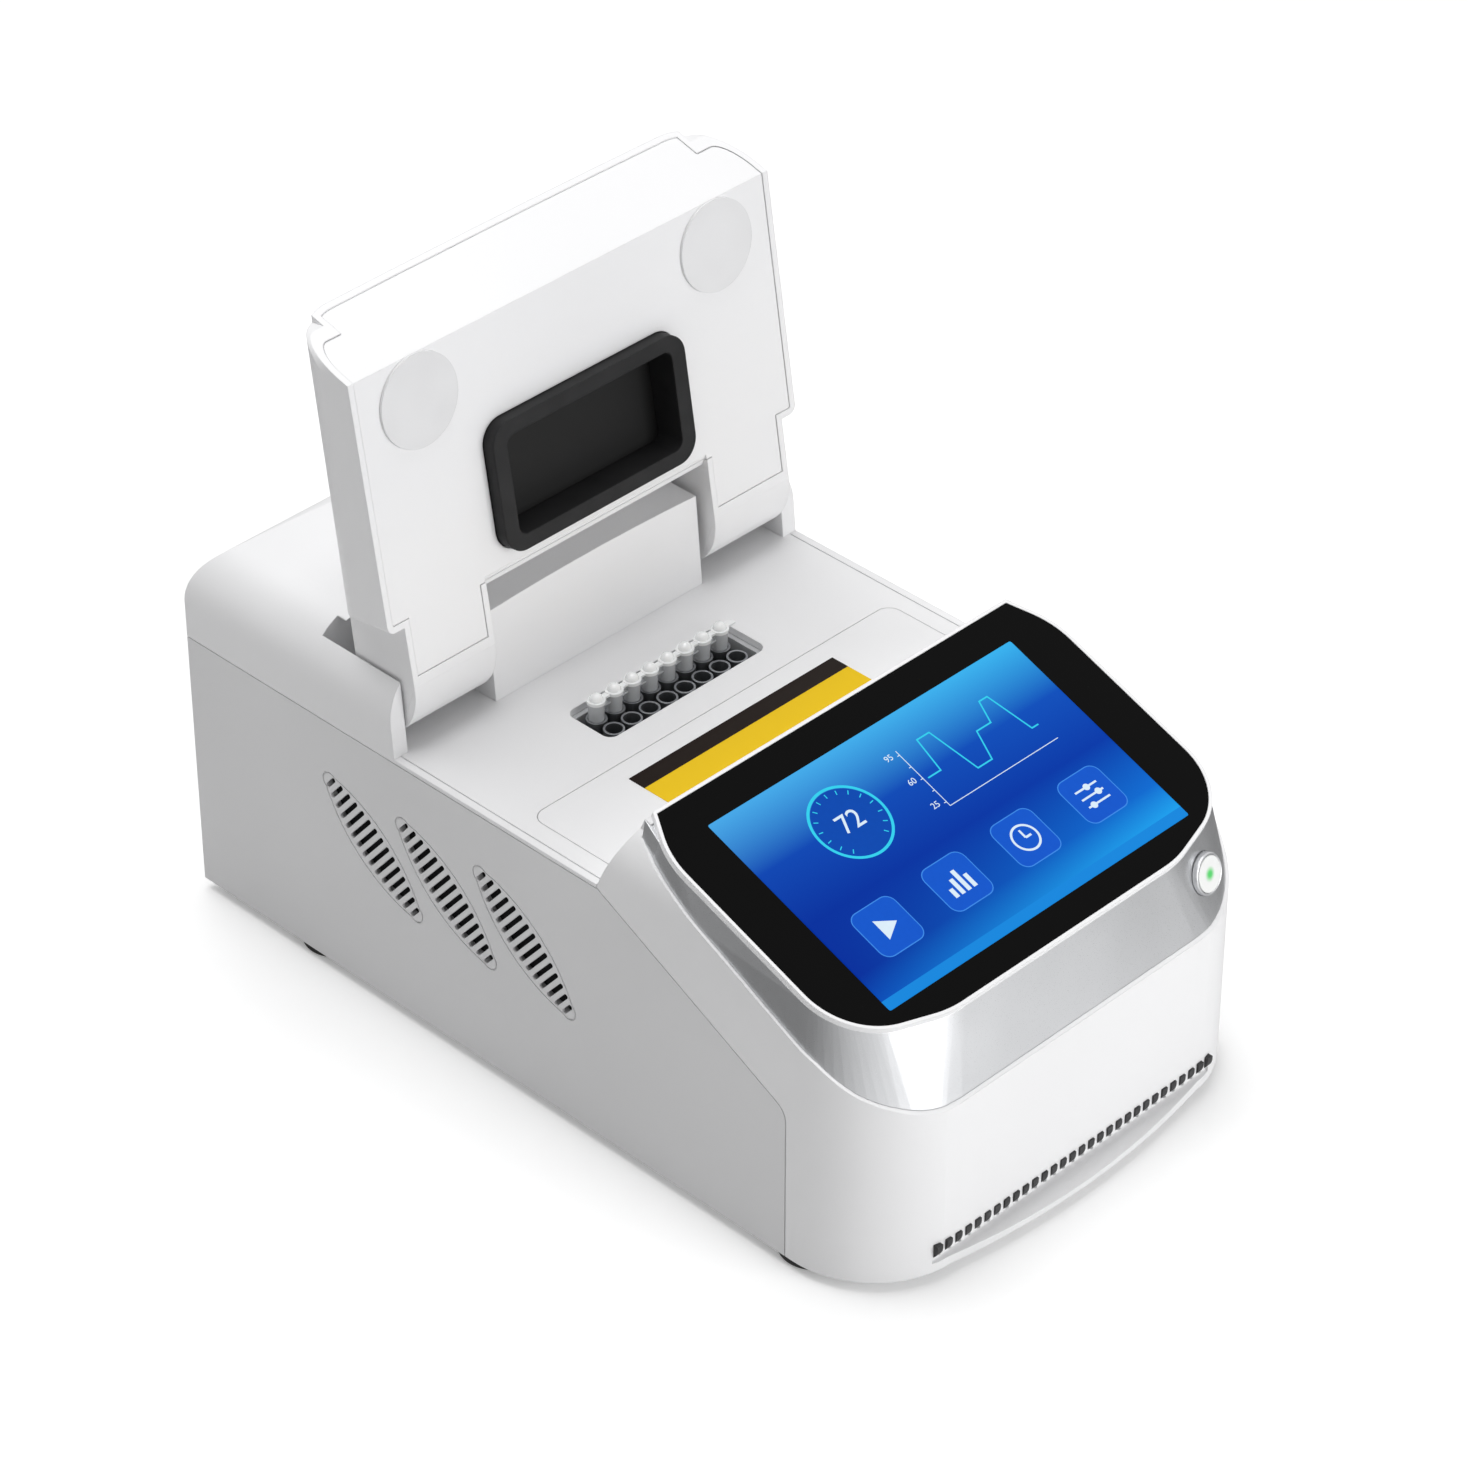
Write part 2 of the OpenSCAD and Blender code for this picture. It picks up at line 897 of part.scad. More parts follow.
lcd_mid = -59.4;
module lcd_panel() {
    color("royalblue")
    on_screen()
        translate([-lcd_w / 2, lcd_mid - lcd_h / 2, -glass_t - lcd_t])
            cube([lcd_w, lcd_h, lcd_t]);
}

module screen_board() {
    color("darkgreen")
    on_screen() {
        translate([-65, lcd_mid - 35, -glass_t - lcd_t - 4.6])
            cube([130, 70, 1.6]);
        for (sx = [-1, 1])
            for (sy = [-1, 1])
                translate([sx * 58, lcd_mid + sy * 28, -glass_t - lcd_t - 3])
                    cylinder(d = 6, h = 3);
    }
}

// Power button in the band at the right front corner
module on_button() {
    translate([button_x, -167.5, button_z])
        rotate([73, 0, 8])
            children();
}

module button_ring() {
    color("gray")
    on_button()
        translate([0, 0, -8])
            difference() {
                cylinder(r = button_d / 2 + button_ring_w, h = 8.6);
                translate([0, 0, 2])
                    cylinder(r = button_d / 2 + pin_gap, h = 10);
                translate([0, 0, -1])
                    cylinder(r = button_d / 2 - 2, h = 10);
            }
}

module power_button() {
    color("white")
    on_button()
        translate([0, 0, -8 + 2 + button_travel + 0.2])
            cylinder(d = button_d, h = 6.4 - button_travel);
}

// Dark frame in the deck opening around the tube block
module block_frame() {
    color("dimgray")
    translate([0, block_y, deck_z - block_drop - 8])
        difference() {
            union() {
                linear_extrude(height = 8)
                    rounded_box(well_open_x - 0.2, well_open_y - 0.2, 3.8);
                linear_extrude(height = 8 + block_drop - wall - 0.1)
                    rounded_box(well_open_x + 4, well_open_y + 4, 6);
            }
            translate([0, 0, -1])
                linear_extrude(height = 30)
                    rounded_box(well_open_x - 2.2, well_open_y - 2, 2);
        }
}

// Aluminium block: a foot plate with thin-walled conical wells
block_top = deck_z - block_drop;
block_foot_z = block_top - well_h;
function well_x(i) = (i - (well_count - 1) / 2) * well_pitch;
well_straight = 5;
module thermal_block() {
    color("silver")
    difference() {
        union() {
            translate([-well_open_x + 2.6, block_y - well_open_y + 2.3, block_foot_z - 6])
                cube([2 * (well_open_x - 2.6), 2 * (well_open_y - 2.3), 6]);
            for (i = [0:well_count - 1])
                for (row = [-0.5, 0.5])
                    translate([well_x(i), block_y + row * well_pitch, block_foot_z - eps])
                        cylinder(d = well_d + 2 * well_wall, h = well_h + eps);
        }
        for (i = [0:well_count - 1])
            for (row = [-0.5, 0.5])
                translate([well_x(i), block_y + row * well_pitch, 0]) {
                    translate([0, 0, block_top - well_straight])
                        cylinder(d = well_d, h = well_straight + 1);
                    translate([0, 0, block_foot_z])
                        cylinder(d1 = 3, d2 = well_d, h = well_h - well_straight);
                }
    }
}

module peltier_modules() {
    color("ivory")
    for (i = [-1:1])
        translate([i * 23, block_y, block_foot_z - 6 - 3.6])
            translate([-10, -9, 0])
                cube([20, 18, 3.6]);
}

// Heat sink under the modules, on posts from the base plate
sink_top = block_foot_z - 9.6;
sink_base = 8;
sink_x = 56;
sink_y = 34;
sink_fin_z = 42;
module heat_sink() {
    color("silver")
    translate([0, block_y, 0]) {
        translate([-sink_x, -sink_y, sink_top - sink_base])
            cube([2 * sink_x, 2 * sink_y, sink_base]);
        for (i = [-8:8])
            translate([i * 5.6 - 0.6, -sink_y, sink_fin_z])
                cube([1.2, 2 * sink_y, sink_top - sink_base - sink_fin_z + eps]);
    }
}

module support_posts() {
    color("silver")
    for (side = [-1, 1])
        for (y = [-1, 1])
            translate([side * (sink_x - 5), block_y + y * (sink_y - 5), base_z + base_t])
                cylinder(d = 8, h = sink_top - sink_base - base_z - base_t);
}

// Main board under the screen, on short posts
board_z = 22;
module main_board() {
    color("darkgreen")
    translate([-80, -140, board_z])
        cube([160, 90, 1.6]);
    color("black")
    for (part = [[-60, -130, 20, 12], [-20, -115, 30, 8], [35, -125, 24, 16], [30, -85, 16, 10]])
        translate([part[0], part[1], board_z + 1.6])
            cube([part[2], part[2] * 0.8, part[3]]);
}

module board_standoffs() {
    color("silver")
    for (sx = [-1, 1])
        for (y = [-134, -56])
            translate([sx * 74, y, base_z + base_t])
                cylinder(d = 7, h = board_z - base_z - base_t);
}

module power_supply() {
    color("lightgray")
    translate([20, 84, base_z + base_t])
        difference() {
            cube([70, 60, 45]);
            for (i = [0:8])
                translate([8 + i * 6, -1, 12])
                    cube([3, 10, 22]);
        }
}

// Exhaust fan against the rear panel
fan_rear_y = rear_y - rear_in - rear_t;
fan_hub_r = 14;
module at_fan() {
    translate([-fan_x, fan_rear_y, fan_z])
        rotate([90, 0, 0])
            children();
}

module fan_frame() {
    color("dimgray")
    at_fan()
        difference() {
            translate([-fan_w / 2, -fan_w / 2, 0])
                cube([fan_w, fan_w, fan_t]);
            translate([0, 0, -1])
                cylinder(d = fan_w - 4, h = fan_t - 2.5);
            difference() {
                translate([0, 0, -1])
                    cylinder(d = fan_w - 4, h = fan_t + 2);
                cylinder(r = fan_hub_r, h = fan_t);
                for (a = [0:90:270])
                    rotate(a)
                        translate([0, -2, 0])
                            cube([fan_w / 2, 4, fan_t]);
            }
            cylinder(d = 4 + 2 * pin_gap, h = far, center = true);
            for (sx = [-1, 1])
                for (sy = [-1, 1])
                    translate([sx * (fan_w / 2 - 4.5), sy * (fan_w / 2 - 4.5), -1])
                        cylinder(d = 4.4, h = fan_t + 2);
        }
}

module fan_rotor() {
    color("black")
    at_fan() {
        translate([0, 0, 3])
            cylinder(r = fan_hub_r + 2, h = fan_t - 8);
        translate([0, 0, 3])
            cylinder(d = 4, h = fan_t - 4);
        for (i = [0:fan_blades - 1])
            rotate(i * 360 / fan_blades)
                translate([0, 0, 3 + (fan_t - 8) / 2])
                    rotate([38, 0, 0])
                        translate([fan_hub_r, -11, -0.9])
                            cube([fan_w / 2 - 4 - fan_hub_r, 22, 1.8]);
    }
}

// Brackets in the hood block that hold the hinge pins
bracket_x = centre_x - wall - fit;
module hinge_brackets() {
    color("silver")
    for (side = [-1, 1])
        translate([side * (bracket_x - 3), hinge_y, 0])
            difference() {
                union() {
                    translate([-3, -9, deck_z])
                        cube([6, 18, hinge_z - deck_z]);
                    translate([-3, 0, hinge_z])
                        rotate([0, 90, 0])
                            cylinder(r = 9, h = 6);
                    translate([side > 0 ? -20 : 0, -9, deck_z])
                        cube([20, 18, 3]);
                }
                translate([-10, 0, hinge_z])
                    rotate([0, 90, 0])
                        cylinder(d = pin_d, h = 20);
            }
}

barrel_len = 14;
pin_end = leg_inner_x + wall + barrel_len;
module hinge_pins() {
    color("silver")
    for (side = [-1, 1])
        translate([side * (bracket_x - 8 + pin_end) / 2, hinge_y, hinge_z])
            rotate([0, 90, 0])
                cylinder(d = pin_d, h = pin_end - bracket_x + 8, center = true);
}

// The lid's pieces are drawn closed and turned about the hinge to stand open
under_z = deck_z + lid_gap;
under_r = hinge_z - under_z;
fold_y = slope_y + 0.5;
fold_angle = slope_angle;
lid_tail = 15.3;
module lid_open() {
    translate([0, hinge_y, hinge_z])
        rotate([-lid_angle, 0, 0])
            translate([0, -hinge_y, -hinge_z])
                children();
}

// Side view of the closed lid, its front, rear and underside moved in
module lid_side(front, rear, base) {
    end_y = fold_y + front / sin(fold_angle);
    rise = far * sin(fold_angle);
    run = far * cos(fold_angle);
    tail = hinge_y + lid_tail - rear;
    intersection() {
        polygon([[end_y - base / tan(fold_angle), under_z + base], [end_y - run, under_z + rise],
            [tail, under_z + rise], [tail, hinge_z - 1],
            [hinge_y + (under_r - base) * cos(30), hinge_z - (under_r - base) / 2],
            [hinge_y, under_z + base]]);
        translate([-far, 0])
            square([2 * far, hood_z + 10]);
    }
    intersection() {
        translate([hinge_y, hinge_z])
            circle(r = under_r - base);
        polygon([[hinge_y, hinge_z], [hinge_y + far * cos(30), hinge_z - far / 2],
            [hinge_y, hinge_z - far]]);
    }
}

// Plan of the lid: narrow tab at its free end, full width, then two legs
tab_x = 89.2;
tab_len = 3.8;
lid_corner_r = 9;
lid_half = half_w - 0.2;
lid_rise = hood_z - lid_sink - under_z - (hinge_y + lid_tail - fold_y) * sin(lid_slope);
lid_tip_y = fold_y - lid_rise / tan(fold_angle);
notch_y = hood_front_y - 5;
module lid_plan(inset) {
    step_y = lid_tip_y + tab_len;
    translate([-(tab_x - inset), lid_tip_y - 5])
        square([2 * (tab_x - inset), 30]);
    translate([0, (step_y + notch_y) / 2])
        rounded_box(lid_half - inset, (notch_y - step_y) / 2 - inset, lid_corner_r - inset);
    translate([0, notch_y / 2])
        rounded_box(lid_half - inset, notch_y / 2 - inset, 3.4 - inset);
    translate([-(leg_outer_x - inset), 0])
        square([2 * (leg_outer_x - inset), far]);
}

// Space between the legs
cut_y = hood_front_y - 2.6;
module lid_solid(inset, front, base) {
    intersection() {
        translate([0, hinge_y + lid_tail, hood_z - lid_sink])
            rotate([lid_slope, 0, 0])
                translate([0, -hinge_y - lid_tail, -hood_z])
                    along(-far, far)
                        section(inset, lid_bow);
        across()
            lid_side(front, inset, base);
        linear_extrude(height = far)
            difference() {
                lid_plan(inset);
                translate([-leg_inner_x - inset, cut_y - inset])
                    square([2 * (leg_inner_x + inset), far]);
            }
    }
}

lid_wall = 2.6;
liner_t = 2.6;
liner_end_y = hinge_y - 4;
module in_front_of(y) {
    translate([-far, y - far, 0])
        cube([2 * far, far, far]);
}

// Bevel along the edge of the space between the legs
module cut_bevel() {
    across(2 * leg_inner_x + 0.2)
        polygon([[cut_y - 5.3, under_z], [cut_y - 5.3, under_z - 1], [cut_y + 1, under_z - 1],
            [cut_y + 1, under_z + 3.6]]);
}

module lid_shell() {
    color("white")
    lid_open()
        difference() {
            lid_solid(0, 0, 0);
            cut_bevel();
            intersection() {
                lid_solid(lid_wall, -5, -5);
                in_front_of(liner_end_y);
            }
            lid_solid(lid_wall, lid_wall, lid_wall);
            for (side = [-1, 1])
                translate([side * leg_inner_x - 5, hinge_y, hinge_z])
                    rotate([0, 90, 0])
                        cylinder(d = pin_d + 2 * fit, h = 10);
        }
}

module press_outline(grow) {
    translate([0, press_y])
        rounded_box(press_w / 2 + grow, press_l / 2 + grow, 9 + grow);
}

module lid_liner() {
    color("white")
    lid_open()
        difference() {
            intersection() {
                lid_solid(lid_wall + 0.2, 0.3, 0.3);
                in_front_of(liner_end_y - 0.2);
            }
            cut_bevel();
            across()
                lid_side(liner_t + 0.3, -10, liner_t + 0.3);
            translate([0, 0, -1])
                linear_extrude(height = hinge_z - 10)
                    press_outline(0.4);
        }
}

// Barrels in the legs that turn on the hinge pins
module lid_barrels() {
    color("silver")
    lid_open()
        intersection() {
            for (side = [-1, 1])
                translate([side * (leg_inner_x + lid_wall + 0.1 + barrel_len / 2), hinge_y, hinge_z])
                    difference() {
                        union() {
                            rotate([0, 90, 0])
                                cylinder(r = 8, h = barrel_len, center = true);
                            translate([-barrel_len / 2, -6, 0])
                                cube([barrel_len, 12, 30]);
                        }
                        rotate([0, 90, 0])
                            cylinder(d = pin_d + 2 * pin_gap, h = 40, center = true);
                    }
            lid_solid(lid_wall + 0.1, lid_wall, lid_wall + 0.1);
        }
}

pad_x = 72.8;
pad_y = -21.5;
module lid_pads() {
    color("gainsboro")
    lid_open()
        for (side = [-1, 1])
            translate([side * pad_x, pad_y, under_z - 0.8])
                cylinder(d = pad_d, h = 1.1);
}

// Heated press: frame and plate slide together on posts in the lid
press_y = 25.5;
press_low = under_z - press_stand;
flange_z = under_z + liner_t + 0.4;
flange_t = 2;
flange_w = 6;
post_d = 3;
inner_top = hood_z - lid_sink - lid_wall;
module press_post_places() {
    for (sx = [-1, 1])
        for (sy = [-1, 1])
            translate([sx * (press_w / 2 + flange_w / 2), press_y + sy * 15, 0])
                children();
}

module press_frame() {
    color("dimgray")
    lid_open()
        difference() {
            union() {
                translate([0, 0, press_low])
                    linear_extrude(height = heater_drop + 3)
                        press_outline(0);
                translate([0, 0, flange_z])
                    linear_extrude(height = flange_t)
                        press_outline(flange_w);
            }
            translate([0, press_y, press_low - 1])
                linear_extrude(height = heater_drop + 5)
                    rounded_box(81.5 / 2, 39.6 / 2, 4);
            press_post_places()
                cylinder(d = post_d + 2 * pin_gap, h = far);
        }
}

module heater_plate() {
    color("darkslategray")
    lid_open()
        translate([0, press_y, press_low + heater_drop])
            linear_extrude(height = 3)
                rounded_box(81.5 / 2 - 0.2, 39.6 / 2 - 0.2, 3.8);
}

module press_posts() {
    color("silver")
    lid_open()
        intersection() {
            press_post_places()
                translate([0, 0, flange_z - 0.05])
                    cylinder(d = post_d, h = inner_top - flange_z + 2);
            lid_solid(lid_wall, 0, 0);
        }
}

module press_springs() {
    color("silver")
    lid_open()
        press_post_places()
            translate([0, 0, flange_z + flange_t + 0.1])
                difference() {
                    cylinder(d = post_d + 2.8, h = inner_top - flange_z - flange_t - press_travel - 4);
                    cylinder(d = post_d + 1.2, h = far, center = true);
                }
}

module lid_heater_board() {
    color("darkgreen")
    lid_open()
        translate([-30, -34, under_z + liner_t + 0.4])
            cube([60, 22, 1.6]);
}

// Strip of eight tubes in the rear row, and its caps
tube_d = well_d - 2 * tube_gap;
tube_top = block_top + tube_rise;
tube_y = block_y + well_pitch / 2;
module tube_places() {
    for (i = [0:well_count - 1])
        translate([well_x(i), tube_y, 0])
            children();
}

module tube_strip() {
    color("white")
    difference() {
        union() {
            tube_places()
                rotate_extrude()
                    polygon([[0, block_foot_z + 1], [1.2, block_foot_z + 1],
                        [tube_d / 2, block_top - well_straight], [tube_d / 2, tube_top],
                        [0, tube_top]]);
            translate([well_x(0), tube_y - 1, tube_top - 3])
                cube([well_x(well_count - 1) - well_x(0), 2, 0.8]);
        }
        tube_places()
            rotate_extrude()
                polygon([[0, block_foot_z + 1.6], [0.7, block_foot_z + 1.6],
                    [tube_d / 2 - tube_wall, block_top - well_straight],
                    [tube_d / 2 - tube_wall, tube_top + 1], [0, tube_top + 1]]);
    }
}

cap_h = 3.8;
module cap_strip() {
    color("white")
    tube_places()
        rotate_extrude()
            polygon(concat([[0, tube_top - 1.5], [tube_d / 2 - tube_wall - 0.05, tube_top - 1.5],
                [tube_d / 2 - tube_wall - 0.05, tube_top], [tube_d / 2 + 0.5, tube_top],
                [tube_d / 2 + 0.5, tube_top + 1.2]],
                [for (a = [0:15:90]) [2.6 * cos(a), tube_top + 1.2 + (cap_h - 1.2) * sin(a)]]));
    color("white")
    translate([well_x(0), tube_y - 1.2, tube_top + 0.2])
        cube([well_x(well_count - 1) - well_x(0) + 7, 2.4, 0.8]);
}

top_cover();
front_fascia();
side_panel_left();
side_panel_right();
rear_panel();
base_plate();
rubber_feet();
base_screws();
front_vent();
side_filters();
silver_band();
screen_rim();
screen_glass();
lcd_panel();
screen_board();
button_ring();
power_button();
deck_panel();
label_strip();
block_frame();
thermal_block();
peltier_modules();
heat_sink();
support_posts();
main_board();
board_standoffs();
power_supply();
fan_frame();
fan_rotor();
fan_grille();
power_inlet();
switch_housing();
switch_rocker();
usb_ports();
hinge_brackets();
hinge_pins();
lid_shell();
lid_liner();
lid_barrels();
lid_pads();
press_frame();
heater_plate();
press_springs();
press_posts();
lid_heater_board();
tube_strip();
cap_strip();
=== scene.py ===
import bpy, bmesh, math
from mathutils import Matrix, Vector


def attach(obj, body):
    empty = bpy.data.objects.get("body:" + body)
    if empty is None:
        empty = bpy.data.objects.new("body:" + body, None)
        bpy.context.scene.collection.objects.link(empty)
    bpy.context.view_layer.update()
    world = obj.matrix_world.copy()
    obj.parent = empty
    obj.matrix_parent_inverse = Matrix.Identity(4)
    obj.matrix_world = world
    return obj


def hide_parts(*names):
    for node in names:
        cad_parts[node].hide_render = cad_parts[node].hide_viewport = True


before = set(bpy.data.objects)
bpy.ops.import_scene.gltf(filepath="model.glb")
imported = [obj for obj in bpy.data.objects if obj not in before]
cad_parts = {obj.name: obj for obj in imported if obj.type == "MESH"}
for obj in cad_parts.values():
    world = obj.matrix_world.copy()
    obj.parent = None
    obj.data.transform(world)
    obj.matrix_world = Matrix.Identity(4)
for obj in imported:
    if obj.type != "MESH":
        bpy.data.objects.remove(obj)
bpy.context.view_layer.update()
scene = bpy.context.scene
scene.view_settings.view_transform = "Standard"


# ---- Camera and studio ----
# The view of a product photograph: a long lens, high and to the left of the front. The
# bench is a white paper sweep. A wide lamp overhead and one in front give soft, plain light.
def linear(code):
    """A colour written as sRGB hex, as the linear values that shaders take."""
    parts = [int(code[i:i + 2], 16) / 255 for i in (1, 3, 5)]
    return tuple(c / 12.92 if c <= 0.04045 else ((c + 0.055) / 1.055) ** 2.4 for c in parts) + (1.0,)


def add(tree, kind, inputs=None, **settings):
    """Adds a shader node with its settings. An input is a value, or the socket that feeds it."""
    made = tree.nodes.new(kind)
    for name, value in settings.items():
        setattr(made, name, value)
    for name, value in (inputs or {}).items():
        if isinstance(value, bpy.types.NodeSocket):
            tree.links.new(value, made.inputs[name])
        else:
            made.inputs[name].default_value = value
    return made


def directly_seen(tree):
    """The light path, and 1 for a ray from the camera, a gloss or a clear piece (else 0)."""
    path = add(tree, "ShaderNodeLightPath")
    seen = path.outputs["Is Camera Ray"]
    for kind in ("Is Glossy Ray", "Is Transmission Ray"):
        seen = add(tree, "ShaderNodeMath", {0: seen, 1: path.outputs[kind]}, operation="MAXIMUM").outputs[0]
    return path, seen


camera = bpy.data.objects.new("camera", bpy.data.cameras.new("camera"))
scene.collection.objects.link(camera)
camera.location = (-1.0996, -1.0879, 1.2384)
camera.rotation_euler = (math.radians(53.84), 0, math.radians(-45.45))
camera.data.lens = 130.05
camera.data.sensor_width = 36
camera.data.clip_start = 0.05
scene.camera = camera

aim = Vector((0, 0, 0.12))
for name, place, size, energy in (("front_lamp", (0.50, -2.30, 0.65), 1.3, 30),
                                  ("top_lamp", (-0.05, 0.55, 2.20), 1.9, 38)):
    lamp = bpy.data.objects.new(name, bpy.data.lights.new(name, "AREA"))
    scene.collection.objects.link(lamp)
    lamp.location = place
    lamp.rotation_euler = (aim - Vector(place)).to_track_quat("-Z", "Y").to_euler()
    lamp.data.size = size
    lamp.data.energy = energy

# White where it is seen, dimmer where it only lights.
sky = bpy.data.worlds.new("studio")
scene.world = sky
sky.use_nodes = True
tree = sky.node_tree
tree.nodes.clear()
path, seen = directly_seen(tree)
level = add(tree, "ShaderNodeMapRange", {"Value": seen, "To Min": 0.30, "To Max": 1.0})
light = add(tree, "ShaderNodeBackground", {"Color": (1, 1, 1, 1), "Strength": level.outputs[0]})
tree.links.new(light.outputs[0], add(tree, "ShaderNodeOutputWorld").inputs["Surface"])

# The sweep glows a little where it is seen, so that it stays white round a soft shadow. Gloss
# sees a bright pool of light on it, in front of the object and to the left.
bpy.ops.mesh.primitive_plane_add(size=14, location=(0, 0, 0))
bench = bpy.context.object
bench.name = "bench"
paint = bpy.data.materials.new("white_paper_sweep")
paint.use_nodes = True
tree = paint.node_tree
tree.nodes.clear()
path, seen = directly_seen(tree)
lift = add(tree, "ShaderNodeMath", {0: seen, 1: 0.24}, operation="MULTIPLY")
paper = add(tree, "ShaderNodeBsdfDiffuse", {"Color": linear("#F2F2F2")})
glow = add(tree, "ShaderNodeEmission", {"Color": (1, 1, 1, 1), "Strength": lift.outputs[0]})
both = add(tree, "ShaderNodeAddShader", {0: paper.outputs[0], 1: glow.outputs[0]})
where = add(tree, "ShaderNodeTexCoord")
pool_middle = (-0.10, -0.60, 0)
away = add(tree, "ShaderNodeVectorMath", {0: where.outputs["Object"], 1: pool_middle}, operation="DISTANCE")
pool = add(tree, "ShaderNodeMapRange", {"Value": away.outputs["Value"], "From Min": 0.10, "From Max": 0.62,
                                        "To Min": 1.55, "To Max": 0.26}, interpolation_type="SMOOTHSTEP")
shine = add(tree, "ShaderNodeEmission", {"Color": (1, 1, 1, 1), "Strength": pool.outputs[0]})
whole = add(tree, "ShaderNodeMixShader", {0: path.outputs["Is Glossy Ray"], 1: both.outputs[0],
                                          2: shine.outputs[0]})
tree.links.new(whole.outputs[0], add(tree, "ShaderNodeOutputMaterial").inputs["Surface"])
bench.data.materials.append(paint)


# ---- Housing shells ----
# Injection-moulded ABS in white: top cover, fascia, deck panel, rim and the lid's shells. The
# mould is spark-eroded, which leaves a fine even grain and a satin gloss; edges are eased.
def new_material(name, colour, roughness, **sockets):
    """A new material and its Principled shader, with the sockets that never vary."""
    material = bpy.data.materials.new(name)
    material.use_nodes = True
    shader = material.node_tree.nodes["Principled BSDF"]
    shader.inputs["Base Color"].default_value = linear(colour)
    shader.inputs["Roughness"].default_value = roughness
    for socket, value in sockets.items():
        shader.inputs[socket.replace("_", " ")].default_value = value
    material.diffuse_color = linear(colour)
    return material, material.node_tree, shader


def grain(tree, shader, size, height, edge=0.0, haze=None):
    """Fine grain of a surface: size and height in metres, on edges eased by a radius. A haze
    is the lowest and the highest roughness, where the grain varies the gloss too."""
    where = add(tree, "ShaderNodeTexCoord")
    noise = add(tree, "ShaderNodeTexNoise", {"Vector": where.outputs["Object"], "Scale": 1 / size,
                                             "Detail": 2.0, "Roughness": 0.55})
    bump = add(tree, "ShaderNodeBump", {"Height": noise.outputs["Fac"], "Distance": height,
                                        "Strength": 1.0})
    if edge:
        soft = add(tree, "ShaderNodeBevel", {"Radius": edge}, samples=4)
        tree.links.new(soft.outputs["Normal"], bump.inputs["Normal"])
    tree.links.new(bump.outputs["Normal"], shader.inputs["Normal"])
    if haze:
        gloss = add(tree, "ShaderNodeMapRange", {"Value": noise.outputs["Fac"], "To Min": haze[0],
                                                 "To Max": haze[1]})
        tree.links.new(gloss.outputs[0], shader.inputs["Roughness"])
    return where


def tint(tree, shader, where, light, dark, size):
    """A slow drift between two close shades, as in a moulded or painted surface."""
    cloud = add(tree, "ShaderNodeTexNoise", {"Vector": where.outputs["Object"], "Scale": 1 / size,
                                             "Detail": 1.0})
    shade = add(tree, "ShaderNodeValToRGB", {"Fac": cloud.outputs["Fac"]})
    shade.color_ramp.elements[0].position = 0.3
    shade.color_ramp.elements[0].color = linear(dark)
    shade.color_ramp.elements[1].position = 0.7
    shade.color_ramp.elements[1].color = linear(light)
    tree.links.new(shade.outputs["Color"], shader.inputs["Base Color"])


def dress(material, *names):
    """Gives CAD nodes their material."""
    for name in names:
        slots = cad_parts[name].data.materials
        slots.clear()
        slots.append(material)


white_abs, tree, shader = new_material("moulded_ABS_white", "#ECECED", 0.42, IOR=1.53)
where = grain(tree, shader, 0.0006, 0.000012, edge=0.0006)
tint(tree, shader, where, "#EEEEEF", "#EAEAEB", 0.12)
dress(white_abs, "top_cover", "front_fascia", "deck_panel", "lid_shell", "lid_liner", "screen_rim")

# The side and rear panels are the same white ABS with a coarser, flatter grain, so that they hide
# scratches. Their colour is painted shade: a shade greyer than the fascia's, so that they read as shaded beside
# it.
shade_painted_abs, tree, shader = new_material("moulded_ABS_white_painted_shade", "#DFDFE0", 0.55, IOR=1.53)
where = grain(tree, shader, 0.0009, 0.00003, edge=0.0005)
tint(tree, shader, where, "#E1E1E2", "#DCDCDD", 0.10)
dress(shade_painted_abs, "side_panel_left", "side_panel_right", "rear_panel")


# ---- Vents, filters and other black mouldings ----
# Glass-filled nylon and black ABS, with a dull even grain. The filters behind the side vents are open foam.
# The strip behind the front slots takes the same near-black foam, which also paints the shade inside the slots.
black_nylon, tree, shader = new_material("moulded_nylon_black", "#161617", 0.5, IOR=1.53)
where = grain(tree, shader, 0.0007, 0.00002, edge=0.0004)
tint(tree, shader, where, "#19191A", "#121213", 0.02)
dress(black_nylon, "fan_frame", "power_inlet", "switch_housing", "switch_rocker")

foam, tree, shader = new_material("black_foam_and_slot_shade", "#0C0C0D", 0.9)
where = add(tree, "ShaderNodeTexCoord")
cells = add(tree, "ShaderNodeTexVoronoi", {"Vector": where.outputs["Object"], "Scale": 1 / 0.0012},
            feature="DISTANCE_TO_EDGE")
bump = add(tree, "ShaderNodeBump", {"Height": cells.outputs["Distance"], "Distance": 0.0004})
tree.links.new(bump.outputs["Normal"], shader.inputs["Normal"])
# On front_vent this near-black is partly painted shade: it darkens the front slots.
dress(foam, "side_filters", "front_vent")


def wall(shape, one, two):
    """Joins two like rings of corners with a band of faces."""
    for j in range(len(one)):
        k = (j + 1) % len(one)
        shape.faces.new((one[j], one[k], two[k], two[j]))


def made_of(shape, name, material):
    """Makes a piece of a finished shape, in one material."""
    bmesh.ops.recalc_face_normals(shape, faces=shape.faces)
    mesh = bpy.data.meshes.new(name)
    shape.to_mesh(mesh)
    shape.free()
    mesh.materials.append(material)
    piece = bpy.data.objects.new(name, mesh)
    scene.collection.objects.link(piece)
    return piece


